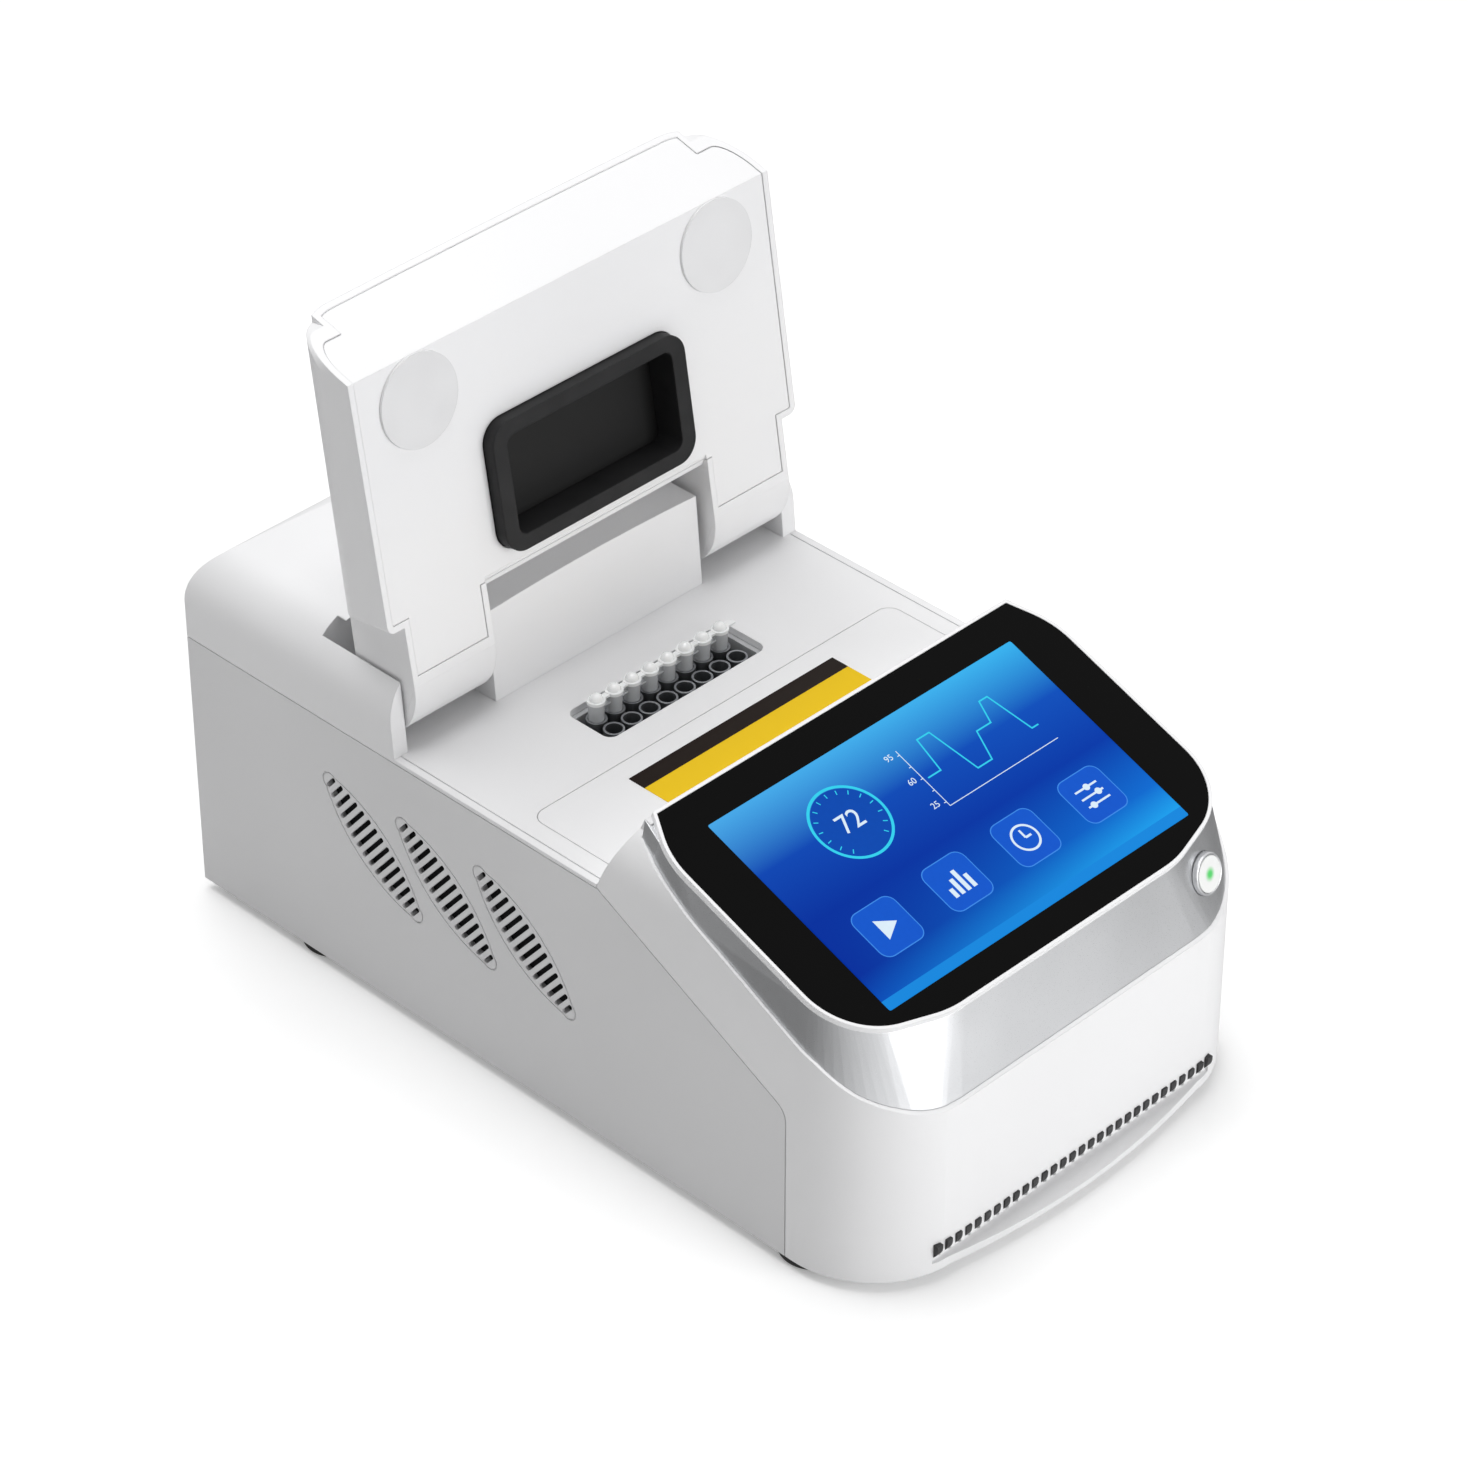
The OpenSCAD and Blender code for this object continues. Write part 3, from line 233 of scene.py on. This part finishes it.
# The foam strip swells into the front slots. Its pads follow the roll of the fascia's recess,
# a little below its surface.
pale_foam, tree, shader = new_material("filter_foam_grey", "#3C3C3D", 0.9)
where = grain(tree, shader, 0.0006, 0.0001)
tint(tree, shader, where, "#424243", "#343435", 0.003)
slots, slot_pitch, half_slot = 30, 0.00492, 0.00134
slot_top, roll_top, slot_foot = 0.0171, 0.0160, 0.01005
face_y, strip_y, below_face, roll = -0.176, -0.16985, 0.0009, 0.006
level_step, roll_deep = 0.0007, 0.0055
levels = [slot_top] + [roll_top - level_step * k for k in range(9)] + [slot_foot]
pad_edge = [(face_y + below_face + roll - math.sqrt(roll ** 2 - min(max(roll_top - z, 0), roll_deep) ** 2), z)
            for z in levels]
pad_edge += [(strip_y, slot_foot), (strip_y, slot_top)]
shape = bmesh.new()
for i in range(slots):
    middle = (i - (slots - 1) / 2) * slot_pitch
    left, right = [[shape.verts.new((middle + reach, y, z)) for y, z in pad_edge]
                   for reach in (-half_slot, half_slot)]
    shape.faces.new(left)
    shape.faces.new(right)
    wall(shape, left, right)
foam_pads = made_of(shape, "front_foam_pads", pale_foam)
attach(foam_pads, "base")

rotor_plastic, tree, shader = new_material("fan_rotor_PBT_black", "#202123", 0.38, IOR=1.53)
where = grain(tree, shader, 0.0005, 0.00001, edge=0.0003)
tint(tree, shader, where, "#232426", "#1C1D1F", 0.01)
dress(rotor_plastic, "fan_rotor")


# ---- Feet ----
# Moulded neoprene, matt and near black, with a little dust in its grain. Each foot is a stub
# with a round shoulder and a dished sole, and a screw through its middle holds it.
def deselect():
    bpy.ops.object.select_all(action="DESELECT")


def settle(piece, place):
    """Puts a finished piece's place into its mesh and lets it ride on the base."""
    piece.data.transform(place @ piece.matrix_basis)
    piece.matrix_basis = Matrix.Identity(4)
    piece.data.update()
    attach(piece, "base")


def revolve(name, material, outline, centres, steps=96):
    """Turns a closed outline of (radius, height) points round the Z axis, once at each centre."""
    shape = bmesh.new()
    for x, y in centres:
        rows = []
        for i in range(steps):
            a = 2 * math.pi * i / steps
            rows.append([shape.verts.new((x + r * math.cos(a), y + r * math.sin(a), z)) for r, z in outline])
        for i in range(steps):
            wall(shape, rows[i], rows[(i + 1) % steps])
    for face in shape.faces:
        face.smooth = True
    return made_of(shape, name, material)


neoprene, tree, shader = new_material("neoprene_feet", "#1B1B1B", 0.78, IOR=1.5)
where = grain(tree, shader, 0.0008, 0.00005, edge=0.0005)
tint(tree, shader, where, "#242322", "#171717", 0.004)
foot_outline = ((0.0020, 0.0045), (0.0130, 0.0045), (0.0135, 0.0040), (0.0135, 0.0016), (0.0131, 0.0007),
                (0.0124, 0.0002), (0.0114, 0.0), (0.0096, 0.0), (0.0088, 0.0008), (0.0020, 0.0008))
foot_places = [(x, y) for x in (-0.088, 0.088) for y in (-0.131, 0.117)]
feet = revolve("feet", neoprene, foot_outline, foot_places)
settle(feet, Matrix.Identity(4))
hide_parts("rubber_feet")
dress(neoprene, "rubber_feet")


# ---- Silver band ----
# ABS sprayed with silver lacquer: aluminium flake in a clear coat. The flakes give a fine
# glitter and the spray a satin sheen. The run from dark to bright round the corner is a painted reflection: the
# bright pool that gloss alone sees on the sweep.
silver, tree, shader = new_material("silver_lacquer", "#CACBCD", 0.3, Metallic=0.95)
where = add(tree, "ShaderNodeTexCoord")
flake = add(tree, "ShaderNodeTexVoronoi", {"Vector": where.outputs["Object"], "Scale": 1 / 0.0005})
bump = add(tree, "ShaderNodeBump", {"Height": flake.outputs["Distance"], "Distance": 0.000012})
soft = add(tree, "ShaderNodeBevel", {"Radius": 0.0004}, samples=4)
tree.links.new(soft.outputs["Normal"], bump.inputs["Normal"])
tree.links.new(bump.outputs["Normal"], shader.inputs["Normal"])
shade = add(tree, "ShaderNodeMapRange", {"Value": flake.outputs["Distance"], "To Min": 0.26, "To Max": 0.36})
tree.links.new(shade.outputs[0], shader.inputs["Roughness"])
tint(tree, shader, where, "#CDCED0", "#C7C8CA", 0.03)
dress(silver, "silver_band", "button_ring")

# The band closes on the fascia's rear lip with a short moulded end on each side.
end_corners = ((0.0922, -0.0532, 0.1476), (0.0948, -0.0629, 0.1441), (0.0965, -0.0613, 0.1374),
               (0.0950, -0.0562, 0.1395), (0.0939, -0.0535, 0.1410), (0.0895, -0.0534, 0.1468),
               (0.0915, -0.0629, 0.1440), (0.0930, -0.0613, 0.1373), (0.0915, -0.0562, 0.1392),
               (0.0905, -0.0538, 0.1410))
shape = bmesh.new()
for side in (-1, 1):
    bmesh.ops.convex_hull(shape, input=[shape.verts.new((side * x, y, z)) for x, y, z in end_corners])
bmesh.ops.delete(shape, geom=[corner for corner in shape.verts if not corner.link_faces], context="VERTS")
band_ends = made_of(shape, "band_ends", silver)
settle(band_ends, Matrix.Identity(4))

# The ring round the power button is a turned bezel with a rounded lip, in the same lacquer.
button_middle = Vector((0.073, -0.1675, 0.0955))
button_turn, button_tilt = math.radians(8), math.radians(73)
on_button = (Matrix.Translation(button_middle) @ Matrix.Rotation(button_turn, 4, "Z")
             @ Matrix.Rotation(button_tilt, 4, "X"))
bezel_outline = ((0.00785, -0.0030), (0.00785, 0.00005), (0.00776, 0.00034), (0.00756, 0.00053),
                 (0.00730, 0.0006), (0.00706, 0.00053), (0.00688, 0.00034), (0.00681, 0.00005), (0.00681, -0.0030))
bezel = revolve("button_bezel", silver, bezel_outline, [(0.0, 0.0)], steps=160)
settle(bezel, on_button)
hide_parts("button_ring")


# ---- Screen glass ----
# Toughened glass printed black on its rear, with an anti-reflex coat, so it mirrors little.
# It is optically flat; only a faint haze of finger grease varies its gloss.
cover_glass, tree, shader = new_material("coated_cover_glass", "#030303", 0.06, IOR=1.5,
                                         Specular_IOR_Level=0.06)
where = add(tree, "ShaderNodeTexCoord")
haze = add(tree, "ShaderNodeTexNoise", {"Vector": where.outputs["Object"], "Scale": 1 / 0.03, "Detail": 3.0})
gloss = add(tree, "ShaderNodeMapRange", {"Value": haze.outputs["Fac"], "To Min": 0.04, "To Max": 0.09})
tree.links.new(gloss.outputs[0], shader.inputs["Roughness"])
dress(cover_glass, "screen_glass")

panel_blue, tree, shader = new_material("display_panel", "#0B3FA8", 0.2)
where = grain(tree, shader, 0.0003, 0.000002)
tint(tree, shader, where, "#0C46B4", "#0A3898", 0.05)
dress(panel_blue, "lcd_panel")


# ---- Display picture ----
# What the liquid-crystal panel shows through the glass: a blue ground that runs from sky
# blue through navy to azure, with a lighter strip along its lower edge.
# Its place is told across and down the slope of the glass, from the middle of the rear edge.
glass_edge, glass_slope = Vector((0, -0.0553, 0.1493)), math.radians(20.5)
glass_top = Matrix.Translation(glass_edge) @ Matrix.Rotation(glass_slope, 4, "X")
picture_wide, picture_tall, picture_mid = 0.1536, 0.0920, -0.0594
deselect()
bpy.ops.mesh.primitive_plane_add(size=1, location=(0, picture_mid, 0.00003))
picture = bpy.context.object
picture.name = "display_picture"
picture.scale = (picture_wide, picture_tall, 1)
bpy.ops.object.transform_apply(location=True, rotation=False, scale=True)
bpy.ops.object.mode_set(mode="EDIT")
bpy.ops.mesh.bevel(offset=0.0008, segments=4, affect="VERTICES")
bpy.ops.mesh.inset(thickness=0.0006)
bpy.ops.mesh.extrude_region_move(TRANSFORM_OT_translate={"value": (0, 0, 0.00004)})
bpy.ops.mesh.select_all(action="SELECT")
bpy.ops.mesh.fill_holes(sides=0)
bpy.ops.object.mode_set(mode="OBJECT")

# Two columns of shades, one for each side, are mixed across. Each runs down the picture, from
# its rear edge to its front edge as they lie seen from above.
picture_rear, picture_front = -0.0126, -0.0988
glow_blue, tree, shader = new_material("display_light", "#000004", 0.08, IOR=1.5, Specular_IOR_Level=0.04)
where = add(tree, "ShaderNodeTexCoord")
flat = add(tree, "ShaderNodeMapping", {"Vector": where.outputs["Object"], "Location": -glass_edge},
           vector_type="POINT")
parts = add(tree, "ShaderNodeSeparateXYZ", {"Vector": flat.outputs[0]})
across = add(tree, "ShaderNodeMapRange", {"Value": parts.outputs["X"], "From Min": -picture_wide / 2,
                                          "From Max": picture_wide / 2})
down = add(tree, "ShaderNodeMapRange", {"Value": parts.outputs["Y"], "From Min": picture_rear,
                                        "From Max": picture_front})
stops, strip_from = (0.28, 0.55, 0.82), 0.952
sides = []
for codes in (("#48A8E8", "#0946B2", "#00309E", "#002E9C", "#0458C2"),
              ("#38B4F0", "#0A50BC", "#003AAA", "#0A6CD2", "#20B0F8")):
    fade = add(tree, "ShaderNodeValToRGB", {"Fac": down.outputs[0]})
    for place in stops:
        fade.color_ramp.elements.new(place)
    for stop, code in zip(fade.color_ramp.elements, codes):
        stop.color = linear(code)
    sides.append(fade.outputs[0])
ground = add(tree, "ShaderNodeMix", {"Factor": across.outputs[0], 6: sides[0], 7: sides[1]},
             data_type="RGBA")
strip = add(tree, "ShaderNodeMath", {0: down.outputs[0], 1: strip_from}, operation="GREATER_THAN")
colour = add(tree, "ShaderNodeMix", {"Factor": strip.outputs[0], 6: ground.outputs[2], 7: linear("#1688DE")},
             data_type="RGBA")
tree.links.new(colour.outputs[2], shader.inputs["Emission Color"])
shader.inputs["Emission Strength"].default_value = 1.0
picture.data.materials.append(glow_blue)
settle(picture, glass_top)


# ---- Display symbols ----
# Lit marks on the picture, generic ones: a ring gauge with ticks and a plain number, a
# temperature curve, and a row of four round-cornered tiles with simple signs.
def light_ink(name, code):
    """A lit colour of the display, which wavers by 4 percent."""
    material, tree, shader = new_material(name, "#000004", 0.1, IOR=1.5, Specular_IOR_Level=0.04)
    where = add(tree, "ShaderNodeTexCoord")
    dots = add(tree, "ShaderNodeTexNoise", {"Vector": where.outputs["Object"], "Scale": 1 / 0.002, "Detail": 1.0})
    level = add(tree, "ShaderNodeMapRange", {"Value": dots.outputs["Fac"], "To Min": 0.96, "To Max": 1.04})
    shader.inputs["Emission Color"].default_value = linear(code)
    tree.links.new(level.outputs[0], shader.inputs["Emission Strength"])
    return material


cyan_ink = light_ink("display_cyan", "#35D2EE")
pale_ink = light_ink("display_white", "#DDEEFA")
tile_ink = light_ink("display_tile", "#1458CC")
edge_ink = light_ink("display_tile_edge", "#3F8CE8")
gauge_ink = light_ink("display_gauge", "#0A4AB0")


def disc(x, y, radius, height, corners=72, turn=0.0):
    """A flat disc on the glass, its centre in metres across and down the slope."""
    deselect()
    bpy.ops.mesh.primitive_circle_add(vertices=corners, radius=radius, fill_type="NGON", location=(x, y, height))
    made = bpy.context.object
    made.rotation_euler[2] = turn
    bpy.ops.object.transform_apply(location=True, rotation=True, scale=True)
    return made


def ring(x, y, radius, width, height, corners=96):
    """A flat ring: a disc with its inside inset and taken out."""
    made = disc(x, y, radius, height, corners)
    bpy.ops.object.mode_set(mode="EDIT")
    bpy.ops.mesh.select_all(action="SELECT")
    bpy.ops.mesh.inset(thickness=width)
    bpy.ops.mesh.delete(type="FACE")
    bpy.ops.object.mode_set(mode="OBJECT")
    return made


def bar(x, y, wide, tall, height, corner=0.0, turn=0.0):
    """A flat bar or tile with round corners."""
    deselect()
    bpy.ops.mesh.primitive_plane_add(size=1, location=(x, y, height))
    made = bpy.context.object
    made.scale = (wide, tall, 1)
    made.rotation_euler[2] = turn
    bpy.ops.object.transform_apply(location=True, rotation=True, scale=True)
    if corner:
        bpy.ops.object.mode_set(mode="EDIT")
        bpy.ops.mesh.select_all(action="SELECT")
        bpy.ops.mesh.bevel(offset=corner, segments=6, affect="VERTICES")
        bpy.ops.object.mode_set(mode="OBJECT")
    return made


def join_marks(name, marks, material, thick=0.00003):
    """Joins flat marks to one piece and gives them a little thickness."""
    deselect()
    for mark in marks:
        mark.select_set(True)
    bpy.context.view_layer.objects.active = marks[0]
    if len(marks) > 1:
        bpy.ops.object.join()
    made = bpy.context.object
    made.name = name
    bpy.ops.object.mode_set(mode="EDIT")
    bpy.ops.mesh.select_all(action="SELECT")
    bpy.ops.mesh.extrude_region_move(TRANSFORM_OT_translate={"value": (0, 0, thick)})
    bpy.ops.mesh.select_all(action="SELECT")
    bpy.ops.mesh.normals_make_consistent(inside=False)
    bpy.ops.object.mode_set(mode="OBJECT")
    made.data.materials.clear()
    made.data.materials.append(material)
    settle(made, glass_top)


def number(text, x, y, size, height):
    """A plain number, set flat on the glass and made a mesh."""
    deselect()
    bpy.ops.object.text_add(location=(x, y, height))
    made = bpy.context.object
    made.data.body = text
    made.data.size = size
    made.data.align_x = "CENTER"
    made.data.align_y = "CENTER"
    bpy.ops.object.convert(target="MESH")
    made = bpy.context.object
    bpy.ops.object.transform_apply(location=True, rotation=True, scale=True)
    return made


# Heights of the layers of marks over the glass, from the lowest to the highest.
ground_z, line_z, face_z, over_z, sign_z, knob_z = 0.00008, 0.00009, 0.00010, 0.00012, 0.00015, 0.00016

gauge_x, gauge_y, tick_at = -0.032, -0.040, 0.0128
join_marks("gauge_ground", [disc(gauge_x, gauge_y, 0.0145, ground_z)], gauge_ink)
join_marks("gauge_ring", [ring(gauge_x, gauge_y, 0.0158, 0.0011, face_z)]
           + [bar(gauge_x + tick_at * math.cos(a), gauge_y + tick_at * math.sin(a), 0.0018, 0.0004, over_z, turn=a)
              for a in [math.radians(-50 + 20 * i) for i in range(15)]], cyan_ink)
join_marks("gauge_number", [number("72", gauge_x, gauge_y, 0.011, over_z)], pale_ink)

steps = [(0.0, 0.4), (0.12, 0.4), (0.16, 1.0), (0.28, 1.0), (0.36, 0.12), (0.5, 0.12), (0.58, 0.62), (0.72, 0.62),
         (0.78, 1.0), (0.86, 1.0), (0.94, 0.2), (1.0, 0.2)]
curve_x, curve_y, curve_wide, curve_tall = 0.006, -0.051, 0.052, 0.024
curve_at = [(curve_x + curve_wide * u, curve_y + curve_tall * v) for u, v in steps]
strokes = []
for (x0, y0), (x1, y1) in zip(curve_at, curve_at[1:]):
    strokes.append(bar((x0 + x1) / 2, (y0 + y1) / 2, math.hypot(x1 - x0, y1 - y0) + 0.0004, 0.0006, face_z,
                       turn=math.atan2(y1 - y0, x1 - x0)))
join_marks("cycle_curve", strokes, cyan_ink)
join_marks("curve_axes", [bar(0.032, -0.0545, 0.056, 0.0003, line_z), bar(0.004, -0.0405, 0.0003, 0.0282, line_z)]
           + [bar(0.0035, -0.0525 + 0.006 * i, 0.0012, 0.0003, line_z) for i in range(5)]
           + [number(n, -0.0005, -0.0515 + 0.012 * i, 0.0036, line_z) for i, n in enumerate(("25", "60", "95"))],
           pale_ink)

# The tiles' signs: a start arrow, four bars, a clock and three sliders.
tile_x, tile_y = [-0.0525 + 0.035 * i for i in range(4)], -0.0795
join_marks("tile_edges", [bar(x, tile_y, 0.0208, 0.0208, ground_z, 0.0042) for x in tile_x], edge_ink)
join_marks("tiles", [bar(x, tile_y, 0.0200, 0.0200, face_z, 0.0038) for x in tile_x], tile_ink, 0.00004)
start_x, bars_x, clock_x, sliders_x = tile_x
signs = [disc(start_x - 0.0006, tile_y, 0.0052, sign_z, 3, math.radians(-90))]
signs += [bar(bars_x - 0.0045 + 0.003 * i, tile_y - 0.005 + tall / 2, 0.0018, tall, sign_z)
          for i, tall in enumerate((0.004, 0.007, 0.0095, 0.0060))]
signs += [ring(clock_x, tile_y, 0.0058, 0.0009, sign_z, 64),
          bar(clock_x, tile_y + 0.0018, 0.0009, 0.0036, sign_z),
          bar(clock_x + 0.0014, tile_y, 0.0028, 0.0009, sign_z)]
for i, knob in enumerate((-0.0028, 0.0030, 0.0004)):
    line_y = tile_y + 0.0036 * (i - 1)
    signs += [bar(sliders_x, line_y, 0.0110, 0.0008, sign_z), disc(sliders_x + knob, line_y, 0.0014, knob_z, 24)]
join_marks("tile_signs", signs, pale_ink)


# ---- Power button ----
# A cap of milky polycarbonate with a green lamp behind its centre. The light shows as a
# small green dot with a soft halo that fades within 3.4 mm.
milky, tree, shader = new_material("polycarbonate_milky", "#F0F1F0", 0.25, IOR=1.58)
where = grain(tree, shader, 0.0005, 0.000006, edge=0.0008)
middle = add(tree, "ShaderNodeMapping", {"Vector": where.outputs["Object"], "Location": -button_middle},
             vector_type="POINT")
away = add(tree, "ShaderNodeVectorMath", {0: middle.outputs[0]}, operation="LENGTH")
halo = add(tree, "ShaderNodeMapRange", {"Value": away.outputs["Value"], "From Min": 0.0008, "From Max": 0.0034,
                                        "To Min": 1.0, "To Max": 0.0}, interpolation_type="SMOOTHSTEP")
shade = add(tree, "ShaderNodeMix", {"Factor": halo.outputs[0], 6: linear("#F0F1F0"), 7: linear("#4CC864")},
            data_type="RGBA")
tree.links.new(shade.outputs[2], shader.inputs["Base Color"])
lit = add(tree, "ShaderNodeMath", {0: halo.outputs[0], 1: 0.10}, operation="MULTIPLY")
shader.inputs["Emission Color"].default_value = linear("#3BDC5C")
tree.links.new(lit.outputs[0], shader.inputs["Emission Strength"])
dress(milky, "power_button")


# ---- Label strip on the deck ----
# Printed polyester film with a matt face: a yellow field in front and a dark one behind,
# with nothing written on it.
film, tree, shader = new_material("printed_polyester_film", "#E6BE1E", 0.5, IOR=1.57, Specular_IOR_Level=0.06)
where = grain(tree, shader, 0.0004, 0.000004)
parts = add(tree, "ShaderNodeSeparateXYZ", {"Vector": where.outputs["Object"]})
field_end = -0.012
behind = add(tree, "ShaderNodeMath", {0: parts.outputs["Y"], 1: field_end}, operation="GREATER_THAN")
shade = add(tree, "ShaderNodeMix", {"Factor": behind.outputs[0], 6: linear("#EAC220"), 7: linear("#1C1410")},
            data_type="RGBA")
tree.links.new(shade.outputs[2], shader.inputs["Base Color"])
dress(film, "label_strip")


# ---- Thermal block and heat sink ----
# Machined aluminium, bead-blasted on the block so that it is dull, grey and even, and extruded
# on the heat sink, where the draw lines run along the fins.
blasted, tree, shader = new_material("bead_blasted_aluminium", "#8C8E91", 0.46, Metallic=1.0)
where = grain(tree, shader, 0.0003, 0.00003, edge=0.00025)
tint(tree, shader, where, "#929497", "#828488", 0.006)
dress(blasted, "thermal_block")

extruded, tree, shader = new_material("extruded_aluminium", "#C4C6C8", 0.36, Metallic=1.0)
where = add(tree, "ShaderNodeTexCoord")
line_scale = (1 / 0.0004, 1 / 0.05, 1 / 0.0004)
lines = add(tree, "ShaderNodeMapping", {"Vector": where.outputs["Object"], "Scale": line_scale})
noise = add(tree, "ShaderNodeTexNoise", {"Vector": lines.outputs[0], "Scale": 1.0, "Detail": 2.0})
bump = add(tree, "ShaderNodeBump", {"Height": noise.outputs["Fac"], "Distance": 0.00002})
tree.links.new(bump.outputs["Normal"], shader.inputs["Normal"])
tint(tree, shader, where, "#C8CACC", "#B8BABC", 0.01)
dress(extruded, "heat_sink")


# ---- Frame round the block ----
# Glass-filled polymer that stands the heat of the block, moulded in grey.
grey_polymer, tree, shader = new_material("heat_proof_polymer_grey", "#BDBEC0", 0.5, IOR=1.6)
where = grain(tree, shader, 0.0006, 0.00002, edge=0.0004)
tint(tree, shader, where, "#C2C3C5", "#B7B8BA", 0.01)
dress(grey_polymer, "block_frame")


# ---- Tubes and caps ----
# Injection-moulded polypropylene, thin and milky, so that some light goes through. The domed
# caps are polished so that an optical lid can read through them.
clear_pp, tree, shader = new_material("clear_polypropylene", "#E6E8EA", 0.16, IOR=1.49, Transmission_Weight=0.4,
                                      Coat_Weight=0.6, Coat_Roughness=0.05)
grain(tree, shader, 0.0012, 0.00001, haze=(0.12, 0.22))
dress(clear_pp, "tube_strip")

cap_pp, tree, shader = new_material("polished_polypropylene_caps", "#FAFBFB", 0.08, IOR=1.49,
                                    Transmission_Weight=0.08, Coat_Weight=1.0, Coat_Roughness=0.03)
grain(tree, shader, 0.0012, 0.000004, haze=(0.05, 0.12))
dress(cap_pp, "cap_strip")


# ---- Lid pads ----
# Moulded discs of gloss ABS pressed into the lid's lining, a little greyer than it.
disc_abs, tree, shader = new_material("gloss_ABS_discs", "#E4E4E5", 0.22, IOR=1.53)
where = grain(tree, shader, 0.002, 0.000004, edge=0.0004)
tint(tree, shader, where, "#E6E6E7", "#E1E1E2", 0.02)
dress(disc_abs, "lid_pads")


# ---- Heated press ----
# The frame is moulded silicone rubber, dark grey and matt, with a faint bloom. The plate
# inside is aluminium with a black anodised face.
silicone, tree, shader = new_material("silicone_rubber_dark", "#191919", 0.6, IOR=1.43, Specular_IOR_Level=0.35)
where = grain(tree, shader, 0.0007, 0.00003, edge=0.0009)
tint(tree, shader, where, "#1E1E1F", "#161617", 0.012)
dress(silicone, "press_frame")

anodised, tree, shader = new_material("black_anodised_plate", "#080808", 0.5, IOR=1.76, Specular_IOR_Level=0.14)
where = grain(tree, shader, 0.0004, 0.00001, edge=0.0003)
tint(tree, shader, where, "#0A0A0B", "#080808", 0.02)
dress(anodised, "heater_plate")


# ---- Steel parts ----
# Zinc-plated sheet for the base, brackets and boxes: pale with a faint crystal pattern.
# Turned steel for pins, posts, springs, barrels, screws and the fan guard, with a fine grain.
zinc, tree, shader = new_material("zinc_plated_steel", "#A7A9AB", 0.4, Metallic=1.0)
where = add(tree, "ShaderNodeTexCoord")
spangle = add(tree, "ShaderNodeTexVoronoi", {"Vector": where.outputs["Object"], "Scale": 1 / 0.008})
gloss = add(tree, "ShaderNodeMapRange", {"Value": spangle.outputs["Color"], "To Min": 0.32, "To Max": 0.5})
tree.links.new(gloss.outputs[0], shader.inputs["Roughness"])
tint(tree, shader, where, "#AFB1B3", "#9C9EA0", 0.01)
dress(zinc, "base_plate", "hinge_brackets", "power_supply", "usb_ports", "support_posts", "board_standoffs")

turned, tree, shader = new_material("turned_steel", "#B4B5B7", 0.28, Metallic=1.0)
where = grain(tree, shader, 0.0002, 0.000006, edge=0.0002)
tint(tree, shader, where, "#BBBCBE", "#A9AAAC", 0.004)
dress(turned, "base_screws", "fan_grille", "hinge_pins", "lid_barrels", "press_posts", "press_springs")


# ---- Circuit boards and thermoelectric modules ----
# Glass-epoxy board under green solder mask, with the tracks showing as a darker net, and
# alumina ceramic for the modules.
solder_mask, tree, shader = new_material("solder_mask_green", "#14532E", 0.3, IOR=1.55)
where = add(tree, "ShaderNodeTexCoord")
tracks = add(tree, "ShaderNodeTexBrick", {"Vector": where.outputs["Object"], "Scale": 1 / 0.006,
                                          "Color1": linear("#17603A"), "Color2": linear("#134E2C"),
                                          "Mortar": linear("#0E3A20"), "Mortar Size": 0.04})
tree.links.new(tracks.outputs["Color"], shader.inputs["Base Color"])
dress(solder_mask, "main_board", "screen_board", "lid_heater_board")

alumina, tree, shader = new_material("alumina_ceramic", "#E8E4DA", 0.5, IOR=1.76)
where = grain(tree, shader, 0.0003, 0.00001)
tint(tree, shader, where, "#ECE8DE", "#E2DED3", 0.004)
dress(alumina, "peltier_modules")
